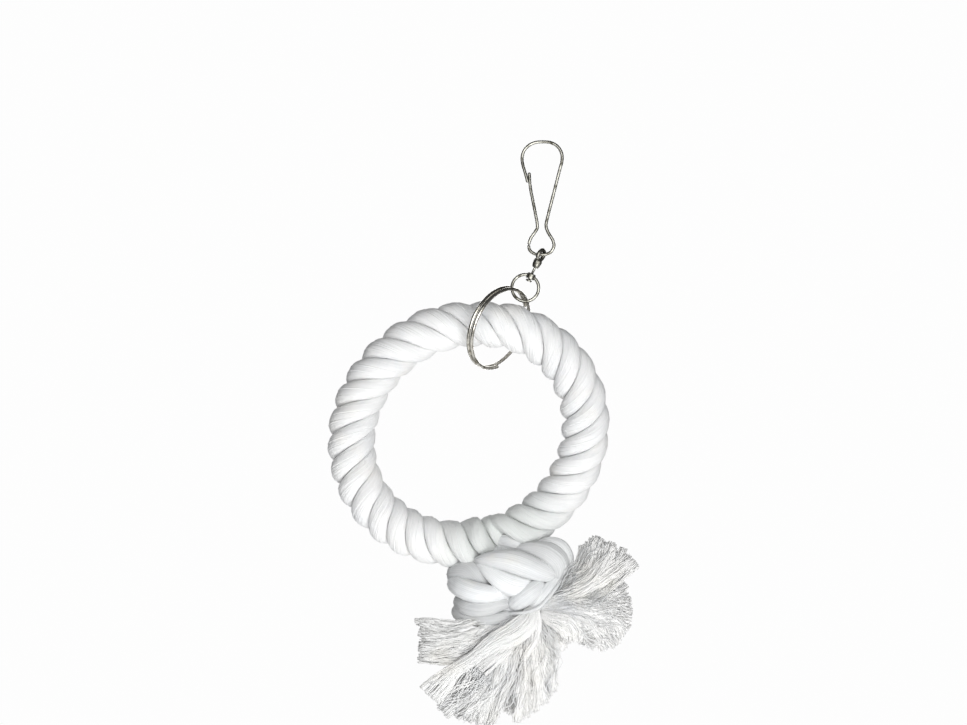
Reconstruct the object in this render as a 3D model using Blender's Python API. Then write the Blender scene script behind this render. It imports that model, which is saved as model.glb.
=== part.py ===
"""Hanging rope ring swing: snap hook, swivel, split ring, three-strand rope ring, knot and frayed tufts.

Millimetres at the top, metres in the scene. +Z up, X across the ring, -Y towards the viewer.
The origin is the inside top of the hook's bow, where the bar bears. Each piece hangs from the one above it.
"""
import math

import bpy
from mathutils import Vector

MM = 0.001
SEAT_GAP = 0.3

# Snap hook: one bent wire, shown as the fixed part and the sprung gate arm.
# Route rows: x, sideways share of the latch offset, z; measured from the wire's centre at the top of the bow.
WIRE_RADIUS = 0.7
WIRE_SIDES = 8
HOOK_STEP = 2.2
GATE_STEP = 3.0
HOOK_ROUTE = [
    (-6.6, -1.0, -17.6), (-7.4, -0.9, -14.3), (-8.6, -0.4, -10.1), (-9.0, 0.0, -7.3), (-8.3, 0.0, -4.1),
    (-6.3, 0.0, -1.7), (-3.4, 0.0, -0.3), (0.0, 0.0, 0.0), (3.6, 0.0, -0.4), (6.4, 0.0, -2.1),
    (8.0, 0.0, -4.9), (8.2, 0.0, -7.9), (7.2, 0.0, -11.9), (4.3, 0.0, -23.3), (1.9, 0.0, -32.7),
    (1.3, 0.0, -36.1), (2.3, 0.0, -39.1), (4.2, 0.0, -42.3), (4.7, 0.0, -44.7), (3.6, 0.0, -47.1),
    (1.4, 0.0, -48.3), (-0.9, 0.0, -48.5), (-3.4, 0.0, -48.2), (-5.6, 0.0, -46.7), (-6.2, 0.0, -44.3),
    (-5.2, 0.0, -41.3), (-3.3, 0.0, -38.6), (-2.5, 0.0, -37.1),
]
GATE_ROUTE = [
    (-2.4, 0.0, -36.5), (-2.6, 0.0, -34.3), (-3.4, 0.1, -30.1), (-4.5, 0.5, -24.5), (-5.5, 0.9, -19.0),
    (-5.9, 1.0, -13.0),
]
LOW_POINT_ROW = 21
LATCH_OFFSET = WIRE_RADIUS + SEAT_GAP

# Swivel: an eye on the hook's lower loop, a post through the boss of a small ring.
SWIVEL_TILT_DEG = 25.5
TURNED_SIDES = 12
TORUS_SIDES = 8
EYE_STEPS = 18
EYE_MINOR = 0.75
EYE_PLAY = 0.75
EYE_DROP = 0.2
EYE_MAJOR = WIRE_RADIUS + EYE_PLAY + EYE_MINOR
BARREL_SINK = 0.2
BARREL_LENGTH = 4.0
BARREL_SHOULDER = 1.2
BARREL_TOP_RADIUS = 1.75
BARREL_WAIST_RADIUS = 1.95
BARREL_FOOT_RADIUS = 1.45
POST_RADIUS = 0.55
POST_SEAT_DEPTH = 2.4
POST_SHOWN = 2.8
POST_HEAD_LAP = 0.45
POST_HEAD_THICK = 0.9
POST_HEAD_EDGE = 0.27
BOSS_RADIUS = 1.95
BOSS_LENGTH = 2.6
BOSS_EDGE_WIDE = 0.27
BOSS_EDGE_HIGH = 0.5
BOSS_TURN_GAP = 0.35
BORE_OVERRUN = 1.0
SMALL_RING_STEPS = 30
SMALL_RING_MAJOR = 5.75
SMALL_RING_MINOR = 0.7
SMALL_RING_INTO_BOSS = 1.05
BARREL_FROM = EYE_MAJOR - BARREL_SINK
BARREL_TO = BARREL_FROM + BARREL_LENGTH
POST_BORE_RADIUS = POST_RADIUS + SEAT_GAP
POST_BORE_FROM = BARREL_TO - POST_SEAT_DEPTH
POST_FROM = POST_BORE_FROM + SEAT_GAP
BOSS_FROM = BARREL_TO + POST_SHOWN
BOSS_TO = BOSS_FROM + BOSS_LENGTH
BOSS_BORE_RADIUS = POST_RADIUS + BOSS_TURN_GAP
POST_HEAD_RADIUS = BOSS_BORE_RADIUS + POST_HEAD_LAP
POST_HEAD_FROM = BOSS_TO + SEAT_GAP
SMALL_RING_AT = BOSS_FROM + SMALL_RING_INTO_BOSS + SMALL_RING_MAJOR

# Split ring: two flat turns of wire with one cross-over, its plane oblique to the rope ring.
SPLIT_MAJOR_DIR = (0.418, 0.0, 0.908)
SPLIT_MINOR_DIR = (-0.5425, -0.802, 0.2497)
SPLIT_RADIUS = 18.0
SPLIT_WIRE_RADIUS = 0.75
SPLIT_TURN_GAP = 0.5
SPLIT_TURN_PITCH = 2 * SPLIT_WIRE_RADIUS + SPLIT_TURN_GAP
SPLIT_CROSS_DEG = -95.0
SPLIT_END_GAP_DEG = 52.0
SPLIT_CROSS_HALF_DEG = 26.0
SPLIT_STEP_DEG = 12.0
SPLIT_SIDES = 8
# Where it hangs in the small ring: bearing on that ring, room between the wires, and its own tilt about them.
SPLIT_HANG_DEG = 219.5
SPLIT_HANG_ROOM = 1.1
SPLIT_HANG_LIFT = -0.9

# Rope ring: an oval of three-strand rope laid right-handed about a steel hoop, hung in the split ring.
RING_LONG_HALF = 51.4
RING_SHORT_HALF = 46.5
RING_TILT_DEG = 28.6
SPLIT_SEAT_DEG = 72.5
SPLIT_SEAT_ACROSS = 1.7
SPLIT_SEAT_RISE = 1.4
SPLIT_BACK_ROOM = 0.8
STRAND_RADIUS = 3.55
STRAND_GAP = 0.4
STRAND_LAY_DEG = 37.1
STRAND_PHASE_DEG = 174.0
STRAND_OVERRUN_DEG = 4.5
STRAND_STEPS_PER_TURN = 12
STRAND_SIDES = 8
CUT_MARGIN = 5.0
HOOP_CLEARANCE = 0.55
HOOP_STEPS = 60
HOOP_SIDES = 8
HOOP_END_DEG = 3.0

# Knot, in rope radii from the ring's centreline at the knot: both rope ends turn down, flattened.
KNOT_DEG = 292.75
KNOT_REACH = 1.757
# Elbow rows: share of the turn downwards, half width, half depth, depth offset.
LEFT_ELBOW = [(0, 0.976, 0.955, 0.000), (0.25, 1.057, 0.814, -0.223), (0.51, 1.159, 0.691, -0.448),
              (0.77, 1.210, 0.620, -0.630), (1, 1.148, 0.589, -0.682)]
RIGHT_ELBOW = [(0, 0.976, 0.955, 0.000), (0.33, 1.037, 0.834, 0.223), (0.65, 1.118, 0.712, 0.448),
               (1, 1.180, 0.641, 0.641)]
LEFT_TURN_DEG = 88.0
RIGHT_TURN_DEG = 46.0
# Fall rows: centre across, depth, height, half width, half depth.
LEFT_FALL = [(-0.580, -0.702, -2.196, 1.016, 0.580), (-0.295, -0.793, -2.908, 0.752, 0.539),
             (0.600, -1.098, -3.741, 0.437, 0.468)]
RIGHT_FALL = [(0.498, 0.671, -0.569, 1.169, 0.620), (-0.152, 0.682, -1.382, 1.159, 0.610),
              (-0.661, 0.671, -2.196, 1.057, 0.610), (-0.559, 0.509, -2.908, 0.875, 0.569),
              (-0.091, 0.163, -3.660, 0.610, 0.468)]
END_SIDES = 15
END_LOBE_DEPTH = 0.09
END_LAY_DEG = 118.0
END_STEP = 0.5

# Three turns of one strand each about the rope ends.
STRAND_EASE = 0.15
TURN_RADIUS = STRAND_RADIUS - STRAND_EASE
TURN_TIP_RADIUS = 1.1
TURN_TIP_SHARE = 0.09
TURN_CLEARANCE = 0.6
TURN_SPACING_GAP = 0.95
TURN_POWER = 2.5
TURN_STEPS = 34
TURN_SIDES = 8
# Turn rows, in rope radii from the knot: left and right reach, where the turn starts and ends at the front.
TURNS = [(-2.379, 2.267, 0.214, -1.413), (-2.216, 1.586, -1.057, -0.600), (-2.124, 0.925, -1.007, -0.346)]
TURN_TOP = -0.427
# Fall below the first front crossing, in rope radii, by share of the turn.
TURN_FALL = [(0, 0.000), (0.22, 0.549), (0.5, 0.854), (0.76, 1.362), (1, 1.525)]

# Frayed tufts: fans about one root, which is in rope radii from the knot.
# Rows: tip across, depth and height from the root, bearing at the root, half width at the tip.
TUFT_ROOT = (0.823, -1.169, -3.860)
TUFT_ROOT_CLEAR = 0.1
TUFT_ROOT_GAP = 0.4
TUFT_HALF_THICK = (2.4, 3.6, 3.0)
TUFT_SIDES = 10
TUFT_STEPS = 6
TUFT_ROOT_LEAD = 0.36
TUFTS = {
    "tuft_right_1": (37.8, 5.5, 31.7, 40.0, 10.6),
    "tuft_right_2": (41.3, 4.5, -1.4, -3.0, 11.0),
    "tuft_right_3": (14.4, 2.5, -11.4, -44.0, 4.3),
    "tuft_left_3": (0.8, 3.5, -36.4, -86.0, 10.4),
    "tuft_left_2": (-33.1, 5.5, -35.4, -128.0, 15.4),
    "tuft_left_1": (-48.2, 4.5, -8.4, -168.0, 9.2),
}

STEEL = (0.62, 0.63, 0.65, 1.0)
STEEL_ROUGHNESS = 0.22
COTTON = (0.86, 0.85, 0.81, 1.0)
COTTON_ROUGHNESS = 0.9


def clear_scene():
    for item in list(bpy.data.objects):
        bpy.data.objects.remove(item, do_unlink=True)


def material(name, colour, metallic, roughness):
    shade = bpy.data.materials.new(name)
    shade.use_nodes = True
    principled = shade.node_tree.nodes["Principled BSDF"]
    principled.inputs["Base Color"].default_value = colour
    principled.inputs["Metallic"].default_value = metallic
    principled.inputs["Roughness"].default_value = roughness
    return shade


def faced_out(verts, faces):
    """The faces, reversed if they enclose a negative volume."""
    volume = 0.0
    for face in faces:
        for b, c in zip(face[1:], face[2:]):
            volume += Vector(verts[face[0]]).dot(Vector(verts[b]).cross(Vector(verts[c])))
    return faces if volume > 0.0 else [tuple(reversed(face)) for face in faces]


def solid(name, verts, faces, pivot, cotton, helper=False):
    """One closed mesh object whose origin is its joint's pivot. Points are in millimetres."""
    origin = Vector(pivot)
    faces = faced_out(verts, faces)
    mesh = bpy.data.meshes.new(name)
    mesh.from_pydata([tuple((Vector(v) - origin) * MM) for v in verts], [], faces)
    mesh.update()
    item = bpy.data.objects.new(name, mesh)
    item.location = origin * MM
    bpy.context.scene.collection.objects.link(item)
    if helper:
        item.hide_render = True
        item.display_type = "WIRE"
        return item
    if cotton:
        mesh.materials.append(material(name + "_cotton", COTTON, 0.0, COTTON_ROUGHNESS))
    else:
        mesh.materials.append(material(name + "_nickel", STEEL, 1.0, STEEL_ROUGHNESS))
    return item


def skin(rings, closed=False):
    """Faces over a list of equal rings of points, with flat ends unless closed."""
    sides = len(rings[0])
    verts = [point for ring in rings for point in ring]
    count = len(rings)
    faces = []
    for i in range(count if closed else count - 1):
        j = (i + 1) % count
        for k in range(sides):
            m = (k + 1) % sides
            faces.append((i * sides + k, i * sides + m, j * sides + m, j * sides + k))
    if not closed:
        faces.append(tuple(reversed(range(sides))))
        faces.append(tuple(range((count - 1) * sides, count * sides)))
    return verts, faces


def smooth_route(points, step):
    """Catmull-Rom points about one step apart through the given points."""
    points = [Vector(p) for p in points]
    padded = [points[0] * 2 - points[1]] + points + [points[-1] * 2 - points[-2]]
    route = []
    for a, b, c, d in zip(padded, padded[1:], padded[2:], padded[3:]):
        count = max(1, round((c - b).length / step))
        for i in range(count):
            t = i / count
            route.append(0.5 * (2 * b + (c - a) * t + (2 * a - 5 * b + 4 * c - d) * t ** 2
                                + (3 * b - a - 3 * c + d) * t ** 3))
    route.append(points[-1])
    return route


def tube_rings(route, radius_at, sides):
    """Round sections square to a route, carried along it without twist."""
    tangents = []
    for i in range(len(route)):
        tangents.append((route[min(i + 1, len(route) - 1)] - route[max(i - 1, 0)]).normalized())
    side = tangents[0].orthogonal().normalized()
    rings = []
    for i, (point, tangent) in enumerate(zip(route, tangents)):
        side = (side - tangent * side.dot(tangent)).normalized()
        up = tangent.cross(side)
        radius = radius_at(i / (len(route) - 1))
        ring = []
        for k in range(sides):
            turn = math.tau * k / sides
            ring.append(point + (side * math.cos(turn) + up * math.sin(turn)) * radius)
        rings.append(ring)
    return rings


def tube(name, route, radius, sides, pivot, cotton):
    verts, faces = skin(tube_rings(route, lambda share: radius, sides))
    return solid(name, verts, faces, pivot, cotton)


def lathe(name, profile, origin, axis, sides, pivot, helper=False):
    """A closed profile of (radius, distance) points turned about an axis; radius 0 is a pole."""
    axis = Vector(axis).normalized()
    side = axis.orthogonal().normalized()
    up = axis.cross(side)
    verts = []
    rows = []
    for radius, along in profile:
        centre = Vector(origin) + axis * along
        if radius == 0.0:
            rows.append([len(verts)] * sides)
            verts.append(centre)
            continue
        rows.append(list(range(len(verts), len(verts) + sides)))
        for k in range(sides):
            turn = math.tau * k / sides
            verts.append(centre + (side * math.cos(turn) + up * math.sin(turn)) * radius)
    faces = []
    for low, high in zip(rows, rows[1:]):
        for k in range(sides):
            m = (k + 1) % sides
            corners = []
            for index in (low[k], low[m], high[m], high[k]):
                if index not in corners:
                    corners.append(index)
            faces.append(tuple(corners))
    return solid(name, verts, faces, pivot, False, helper)


def torus_rings(centre, across, along, major, minor, steps, sides):
    across = Vector(across).normalized()
    along = Vector(along).normalized()
    normal = across.cross(along)
    rings = []
    for i in range(steps):
        turn = math.tau * i / steps
        outward = across * math.cos(turn) + along * math.sin(turn)
        ring = []
        for k in range(sides):
            roll = math.tau * k / sides
            ring.append(Vector(centre) + outward * (major + minor * math.cos(roll)) - normal * minor * math.sin(roll))
        rings.append(ring)
    return rings


def boolean(item, other, operation):
    modifier = item.modifiers.new(operation.lower(), "BOOLEAN")
    modifier.operation = operation
    modifier.solver = "EXACT"
    modifier.object = other


def ring_radius(degrees):
    turn = math.radians(degrees - RING_TILT_DEG)
    across = RING_SHORT_HALF * math.cos(turn)
    along = RING_LONG_HALF * math.sin(turn)
    return RING_LONG_HALF * RING_SHORT_HALF / math.hypot(across, along)


def ring_offset(degrees):
    """The rope's centreline, from the oval's centre."""
    turn = math.radians(degrees)
    return Vector((math.cos(turn), 0.0, math.sin(turn))) * ring_radius(degrees)


def ring_axes(degrees):
    """Clockwise heading, outward normal and sideways axis of the rope's centreline."""
    heading = (ring_offset(degrees - 0.5) - ring_offset(degrees + 0.5)).normalized()
    outward = Vector((-heading.z, 0.0, heading.x))
    return heading, outward, heading.cross(outward)


def strand_route(strand, offset, first, last):
    """One strand's centreline from the oval's centre, between two bearings."""
    count = round((first - last) / STRAND_LAY_DEG * STRAND_STEPS_PER_TURN)
    route = []
    for i in range(count + 1):
        degrees = first + (last - first) * i / count
        _, outward, side = ring_axes(degrees)
        turn = math.tau * ((KNOT_DEG - degrees) / STRAND_LAY_DEG + strand / 3) + math.radians(STRAND_PHASE_DEG)
        route.append(ring_offset(degrees) + (outward * math.cos(turn) + side * math.sin(turn)) * offset)
    return route


def least_gap(first, second, radius):
    return min((p - q).length for p in first for q in second) - 2 * radius


def lay_offset():
    """How far the strands lie from the rope's centreline to be one strand gap apart."""
    low = STRAND_RADIUS
    high = 3 * STRAND_RADIUS
    first = KNOT_DEG - STRAND_LAY_DEG
    last = KNOT_DEG - 360 + STRAND_LAY_DEG
    for _ in range(20):
        middle = (low + high) / 2
        routes = [strand_route(strand, middle, first, last) for strand in (0, 1)]
        if least_gap(routes[0], routes[1], STRAND_RADIUS) < STRAND_GAP:
            low = middle
        else:
            high = middle
    return high


def least_self_gap(route, radius, apart):
    """Least clear distance between parts of one route more than apart points from each other."""
    return min(least_gap(route[:i + 1], route[i + apart:], radius) for i in range(len(route) - apart))


def split_axes():
    major = Vector(SPLIT_MAJOR_DIR).normalized()
    minor = Vector(SPLIT_MINOR_DIR)
    minor = (minor - major * minor.dot(major)).normalized()
    return major, minor, major.cross(minor)


def split_centre(hinge, depth):
    """The split ring's centre, for wire that hangs at the hinge and reaches the rope's back at a given depth."""
    major, minor, normal = split_axes()
    inset = SPLIT_RADIUS - SPLIT_WIRE_RADIUS - SMALL_RING_MINOR - SPLIT_HANG_ROOM
    sine = (-depth - normal.y * SPLIT_HANG_LIFT) / (minor.y * inset)
    turn = math.asin(sine)
    return hinge - (major * math.cos(turn) + minor * sine) * inset - normal * SPLIT_HANG_LIFT


# Places of the pieces, each from the one that it hangs on.
BOW_TOP = Vector((0.0, 0.0, WIRE_RADIUS))
GATE_PIVOT = BOW_TOP + (Vector(HOOK_ROUTE[-1]) + Vector(GATE_ROUTE[0])) / 2
EYE_CENTRE = BOW_TOP + Vector(HOOK_ROUTE[LOW_POINT_ROW]) - Vector((0.0, 0.0, EYE_DROP))
SWIVEL_TILT = math.radians(SWIVEL_TILT_DEG)
SWIVEL_DOWN = Vector((-math.sin(SWIVEL_TILT), 0.0, -math.cos(SWIVEL_TILT)))
SMALL_RING_CENTRE = EYE_CENTRE + SWIVEL_DOWN * SMALL_RING_AT
HANG_TURN = math.radians(SPLIT_HANG_DEG)
SPLIT_HINGE = SMALL_RING_CENTRE + Vector((math.cos(HANG_TURN), 0.0, math.sin(HANG_TURN))) * SMALL_RING_MAJOR
STRAND_OFFSET = lay_offset()
ROPE_RADIUS = STRAND_OFFSET + STRAND_RADIUS
HOOP_RADIUS = STRAND_OFFSET - STRAND_RADIUS - HOOP_CLEARANCE
SPLIT_BACK = abs(split_axes()[1].y) * SPLIT_RADIUS - SPLIT_WIRE_RADIUS
SPLIT_BACK_TURN = abs(split_axes()[2].y) * SPLIT_TURN_PITCH / 2
SPLIT_CENTRE = split_centre(SPLIT_HINGE, ROPE_RADIUS + SPLIT_BACK_ROOM - SPLIT_BACK + SPLIT_BACK_TURN)
ROPE_SEAT = Vector((SPLIT_CENTRE.x + SPLIT_SEAT_ACROSS, 0.0, SPLIT_CENTRE.z + SPLIT_SEAT_RISE))
RING_CENTRE = ROPE_SEAT - ring_offset(SPLIT_SEAT_DEG)
KNOT_AT = RING_CENTRE + ring_offset(KNOT_DEG)
KNOT_HALF_DEG = math.degrees(2 * math.asin(KNOT_REACH * ROPE_RADIUS / 2 / ring_radius(KNOT_DEG)))
LEFT_END_DEG = KNOT_DEG - KNOT_HALF_DEG
RIGHT_END_DEG = KNOT_DEG - 360 + KNOT_HALF_DEG
TUFT_CENTRE = KNOT_AT + Vector(TUFT_ROOT) * ROPE_RADIUS


def latched(route):
    """A wire route with its sideways shares turned into millimetres."""
    return [BOW_TOP + Vector((x, share * LATCH_OFFSET, z)) for x, share, z in route]


def build_hook():
    hook = smooth_route(latched(HOOK_ROUTE), HOOK_STEP)
    tube("snap_hook", hook, WIRE_RADIUS, WIRE_SIDES, (0.0, 0.0, 0.0), False)
    gate = smooth_route(latched(GATE_ROUTE), GATE_STEP)
    tube("gate_arm", gate, WIRE_RADIUS, WIRE_SIDES, GATE_PIVOT, False)


def build_swivel():
    barrel = [
        (0.0, BARREL_FROM), (BARREL_TOP_RADIUS, BARREL_FROM),
        (BARREL_WAIST_RADIUS, BARREL_FROM + BARREL_SHOULDER),
        (BARREL_FOOT_RADIUS, BARREL_TO), (POST_BORE_RADIUS, BARREL_TO), (POST_BORE_RADIUS, POST_BORE_FROM),
        (0.0, POST_BORE_FROM),
    ]
    eye = lathe("swivel_eye", barrel, EYE_CENTRE, SWIVEL_DOWN, TURNED_SIDES, EYE_CENTRE)
    depth = Vector((0.0, 1.0, 0.0))
    rings = torus_rings(EYE_CENTRE, SWIVEL_DOWN, depth, EYE_MAJOR, EYE_MINOR, EYE_STEPS, TORUS_SIDES)
    verts, faces = skin(rings, True)
    loop = solid("eye_loop_helper", verts, faces, EYE_CENTRE, False, True)
    boolean(eye, loop, "UNION")

    head_to = POST_HEAD_FROM + POST_HEAD_THICK
    post = [
        (0.0, POST_FROM), (POST_RADIUS, POST_FROM), (POST_RADIUS, POST_HEAD_FROM),
        (POST_HEAD_RADIUS, POST_HEAD_FROM), (POST_HEAD_RADIUS - POST_HEAD_EDGE, head_to), (0.0, head_to),
    ]
    lathe("swivel_pin", post, EYE_CENTRE, SWIVEL_DOWN, TURNED_SIDES, EYE_CENTRE)

    rim = BOSS_RADIUS - BOSS_EDGE_WIDE
    boss = [(0.0, BOSS_FROM), (rim, BOSS_FROM), (BOSS_RADIUS, BOSS_FROM + BOSS_EDGE_HIGH),
            (BOSS_RADIUS, BOSS_TO - BOSS_EDGE_HIGH), (rim, BOSS_TO), (0.0, BOSS_TO)]
    ring = lathe("swivel_ring", boss, EYE_CENTRE, SWIVEL_DOWN, TURNED_SIDES, EYE_CENTRE)
    across = SWIVEL_DOWN.cross(depth)
    rings = torus_rings(SMALL_RING_CENTRE, SWIVEL_DOWN, across, SMALL_RING_MAJOR, SMALL_RING_MINOR,
                        SMALL_RING_STEPS, TORUS_SIDES)
    verts, faces = skin(rings, True)
    hoop = solid("ring_hoop_helper", verts, faces, EYE_CENTRE, False, True)
    boolean(ring, hoop, "UNION")
    top = BOSS_FROM - BORE_OVERRUN
    foot = BOSS_TO + BORE_OVERRUN
    bore = [(0.0, top), (BOSS_BORE_RADIUS, top), (BOSS_BORE_RADIUS, foot), (0.0, foot)]
    drill = lathe("ring_bore_helper", bore, EYE_CENTRE, SWIVEL_DOWN, TURNED_SIDES, EYE_CENTRE, True)
    boolean(ring, drill, "DIFFERENCE")


def split_ring_route():
    """Two flat turns a pitch apart, joined by one cross-over in the gap between the wire's ends."""
    major, minor, normal = split_axes()
    first = SPLIT_CROSS_DEG + SPLIT_END_GAP_DEG
    last = SPLIT_CROSS_DEG - SPLIT_END_GAP_DEG + 720.0
    crossing = SPLIT_CROSS_DEG + 360.0
    count = round((last - first) / SPLIT_STEP_DEG)
    route = []
    for i in range(count + 1):
        degrees = first + (last - first) * i / count
        share = min(1.0, max(0.0, 0.5 + 0.5 * (degrees - crossing) / SPLIT_CROSS_HALF_DEG))
        lift = SPLIT_TURN_PITCH * (share * share * (3 - 2 * share) - 0.5)
        turn = math.radians(degrees)
        flat = (major * math.cos(turn) + minor * math.sin(turn)) * SPLIT_RADIUS
        route.append(SPLIT_CENTRE + flat + normal * lift)
    return route


def build_split_ring():
    route = split_ring_route()
    tube("split_ring", route, SPLIT_WIRE_RADIUS, SPLIT_SIDES, SPLIT_HINGE, False)
    gap = least_self_gap(route, SPLIT_WIRE_RADIUS, round(180 / SPLIT_STEP_DEG))
    print(f"split ring: least gap between its turns {gap:.2f} mm")


def end_cutter(name, degrees, heading_sign):
    """A block that squares off the strands where they enter the knot."""
    heading, outward, side = ring_axes(degrees)
    point = RING_CENTRE + ring_offset(degrees)
    half = ROPE_RADIUS + CUT_MARGIN / 2
    rings = []
    for along in (0.0, 2 * half):
        ring = []
        for across, over in ((-1, -1), (1, -1), (1, 1), (-1, 1)):
            ring.append(point + heading * heading_sign * along + (outward * across + side * over) * half)
        rings.append(ring)
    verts, faces = skin(rings)
    return solid(name, verts, faces, ROPE_SEAT, True, True)


def build_rope_ring():
    cutters = [end_cutter("left_cut_helper", LEFT_END_DEG, -1.0),
               end_cutter("right_cut_helper", RIGHT_END_DEG, 1.0)]
    routes = []
    for strand in range(3):
        first = LEFT_END_DEG + STRAND_OVERRUN_DEG
        last = RIGHT_END_DEG - STRAND_OVERRUN_DEG
        route = [RING_CENTRE + p for p in strand_route(strand, STRAND_OFFSET, first, last)]
        routes.append(route)
        laid = tube(f"strand_{strand + 1}", route, STRAND_RADIUS, STRAND_SIDES, ROPE_SEAT, True)
        for cutter in cutters:
            boolean(laid, cutter, "DIFFERENCE")
    least = min(least_gap(routes[a], routes[b], STRAND_RADIUS) for a, b in ((0, 1), (1, 2), (2, 0)))
    print(f"strands: least gap at the points {least:.2f} mm")
    hoop = []
    for i in range(HOOP_STEPS + 1):
        start = LEFT_END_DEG - HOOP_END_DEG
        stop = RIGHT_END_DEG + HOOP_END_DEG
        hoop.append(RING_CENTRE + ring_offset(start + (stop - start) * i / HOOP_STEPS))
    tube("core_wire", hoop, HOOP_RADIUS, HOOP_SIDES, ROPE_SEAT, False)


def rope_end_sections(degrees, heading_sign, turn_deg, elbow, fall):
    """Centre, width axis, half width and half depth of each section, from the ring's end down to the tufts."""
    heading, outward, _ = ring_axes(degrees)
    heading = heading * heading_sign
    point = RING_CENTRE + ring_offset(degrees)
    corner = point + heading * SEAT_GAP + outward * (ROPE_RADIUS + SEAT_GAP)
    depth = Vector((0.0, ROPE_RADIUS, 0.0))
    rows = []
    for share, width, half_depth, offset in elbow:
        turn = math.radians(turn_deg) * share
        axis = -outward * math.cos(turn) + heading * math.sin(turn)
        half_width = width * ROPE_RADIUS
        rows.append((corner + axis * (half_width + SEAT_GAP) + depth * offset, axis, half_width,
                     half_depth * ROPE_RADIUS))
    level = Vector((-heading_sign, 0.0, 0.0))
    for x, y, z, width, half_depth in fall:
        centre = KNOT_AT + Vector((x, y, z)) * ROPE_RADIUS
        rows.append((centre, level, width * ROPE_RADIUS, half_depth * ROPE_RADIUS))
    return rows


def build_rope_end(name, rows):
    """An oval, three-lobed loft through the rows, the lobes turning with the rope's lay."""
    fine = []
    for a, b in zip(rows, rows[1:]):
        count = max(2, round((b[0] - a[0]).length / (END_STEP * ROPE_RADIUS)))
        for i in range(count):
            t = i / count
            axis = (a[1] * (1 - t) + b[1] * t).normalized()
            fine.append((a[0].lerp(b[0], t), axis, a[2] + (b[2] - a[2]) * t, a[3] + (b[3] - a[3]) * t))
    fine.append(rows[-1])
    rings = []
    lay = 0.0
    for i, (centre, axis, width, half_depth) in enumerate(fine):
        if i:
            lay += math.radians(END_LAY_DEG) * (centre - fine[i - 1][0]).length / ROPE_RADIUS
        ring = []
        for k in range(END_SIDES):
            turn = math.tau * k / END_SIDES
            lobe = 1.0 - END_LOBE_DEPTH * (0.5 + 0.5 * math.cos(3 * (turn - lay)))
            ring.append(centre + axis * width * lobe * math.cos(turn)
                        + Vector((0.0, half_depth * lobe * math.sin(turn), 0.0)))
        rings.append(ring)
    verts, faces = skin(rings)
    return solid(name, verts, faces, ROPE_SEAT, True)


def turn_fall(share):
    for (s0, f0), (s1, f1) in zip(TURN_FALL, TURN_FALL[1:]):
        if share <= s1:
            return f0 + (f1 - f0) * (share - s0) / (s1 - s0)
    return TURN_FALL[-1][1]


def turn_half_depth():
    """Depth of a turn's centreline, clear of the deepest rope end."""
    deepest = max(abs(y) + half_depth for _, y, _, _, half_depth in LEFT_FALL[:2] + RIGHT_FALL)
    return deepest * ROPE_RADIUS + TURN_CLEARANCE + TURN_RADIUS


def turn_point(index, turn, share):
    """A point on a rounded-oval turn; the turn angle runs from the front through the right and the back."""
    left, right, _, _ = TURNS[index]
    across = math.sin(turn)
    front = -math.cos(turn)
    x = (math.copysign(abs(across) ** (2 / TURN_POWER), across) * (right - left) + right + left) / 2
    y = math.copysign(abs(front) ** (2 / TURN_POWER), front) * turn_half_depth()
    drop = (2 * TURN_RADIUS + TURN_SPACING_GAP) * index
    z = (TURN_TOP - turn_fall(share)) * ROPE_RADIUS - drop
    return KNOT_AT + Vector((x * ROPE_RADIUS, y, z))


def front_angle(index, x):
    left, right, _, _ = TURNS[index]
    across = (x - (right + left) / 2) / ((right - left) / 2)
    return math.asin(math.copysign(abs(across) ** (TURN_POWER / 2), across))


def turn_radius(share):
    near = min(share, 1.0 - share) / TURN_TIP_SHARE
    if near >= 1.0:
        return TURN_RADIUS
    return TURN_TIP_RADIUS + (TURN_RADIUS - TURN_TIP_RADIUS) * math.sin(near * math.pi / 2)


def build_turns():
    for index, (_, _, start_x, end_x) in enumerate(TURNS):
        start = front_angle(index, start_x)
        end = math.tau + front_angle(index, end_x)
        route = []
        for i in range(TURN_STEPS + 1):
            share = i / TURN_STEPS
            route.append(turn_point(index, start + (end - start) * share, share))
        verts, faces = skin(tube_rings(route, turn_radius, TURN_SIDES))
        solid(f"knot_turn_{index + 1}", verts, faces, ROPE_SEAT, True)


def build_tufts():
    root_radius = LEFT_FALL[-1][3] * ROPE_RADIUS + TUFT_ROOT_CLEAR
    bearings = [row[3] for row in TUFTS.values()]
    least_step = min(a - b for a, b in zip(bearings, bearings[1:]))
    root_half = root_radius * math.sin(math.radians(least_step / 2)) - TUFT_ROOT_GAP / 2
    for name, (x, y, z, bearing, tip_half) in TUFTS.items():
        tip = TUFT_CENTRE + Vector((x, y, z))
        turn = math.radians(bearing)
        outward = Vector((math.cos(turn), 0.0, math.sin(turn)))
        start = TUFT_CENTRE + outward * root_radius
        bend = start + outward * (tip - start).length * TUFT_ROOT_LEAD
        rings = []
        for i in range(TUFT_STEPS + 1):
            t = i / TUFT_STEPS
            centre = start * (1 - t) ** 2 + bend * 2 * t * (1 - t) + tip * t * t
            run = ((bend - start) * (1 - t) + (tip - bend) * t).normalized()
            wide = Vector((-run.z, 0.0, run.x)).normalized()
            thick = wide.cross(run)
            half = root_half + (tip_half - root_half) * t
            low, middle, high = TUFT_HALF_THICK
            depth = low * (1 - t) ** 2 + middle * 2 * t * (1 - t) + high * t * t
            ring = []
            for k in range(TUFT_SIDES):
                roll = math.tau * k / TUFT_SIDES
                ring.append(centre + wide * half * math.cos(roll) - thick * depth * math.sin(roll))
            rings.append(ring)
        verts, faces = skin(rings)
        solid(name, verts, faces, TUFT_CENTRE, True)


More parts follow.
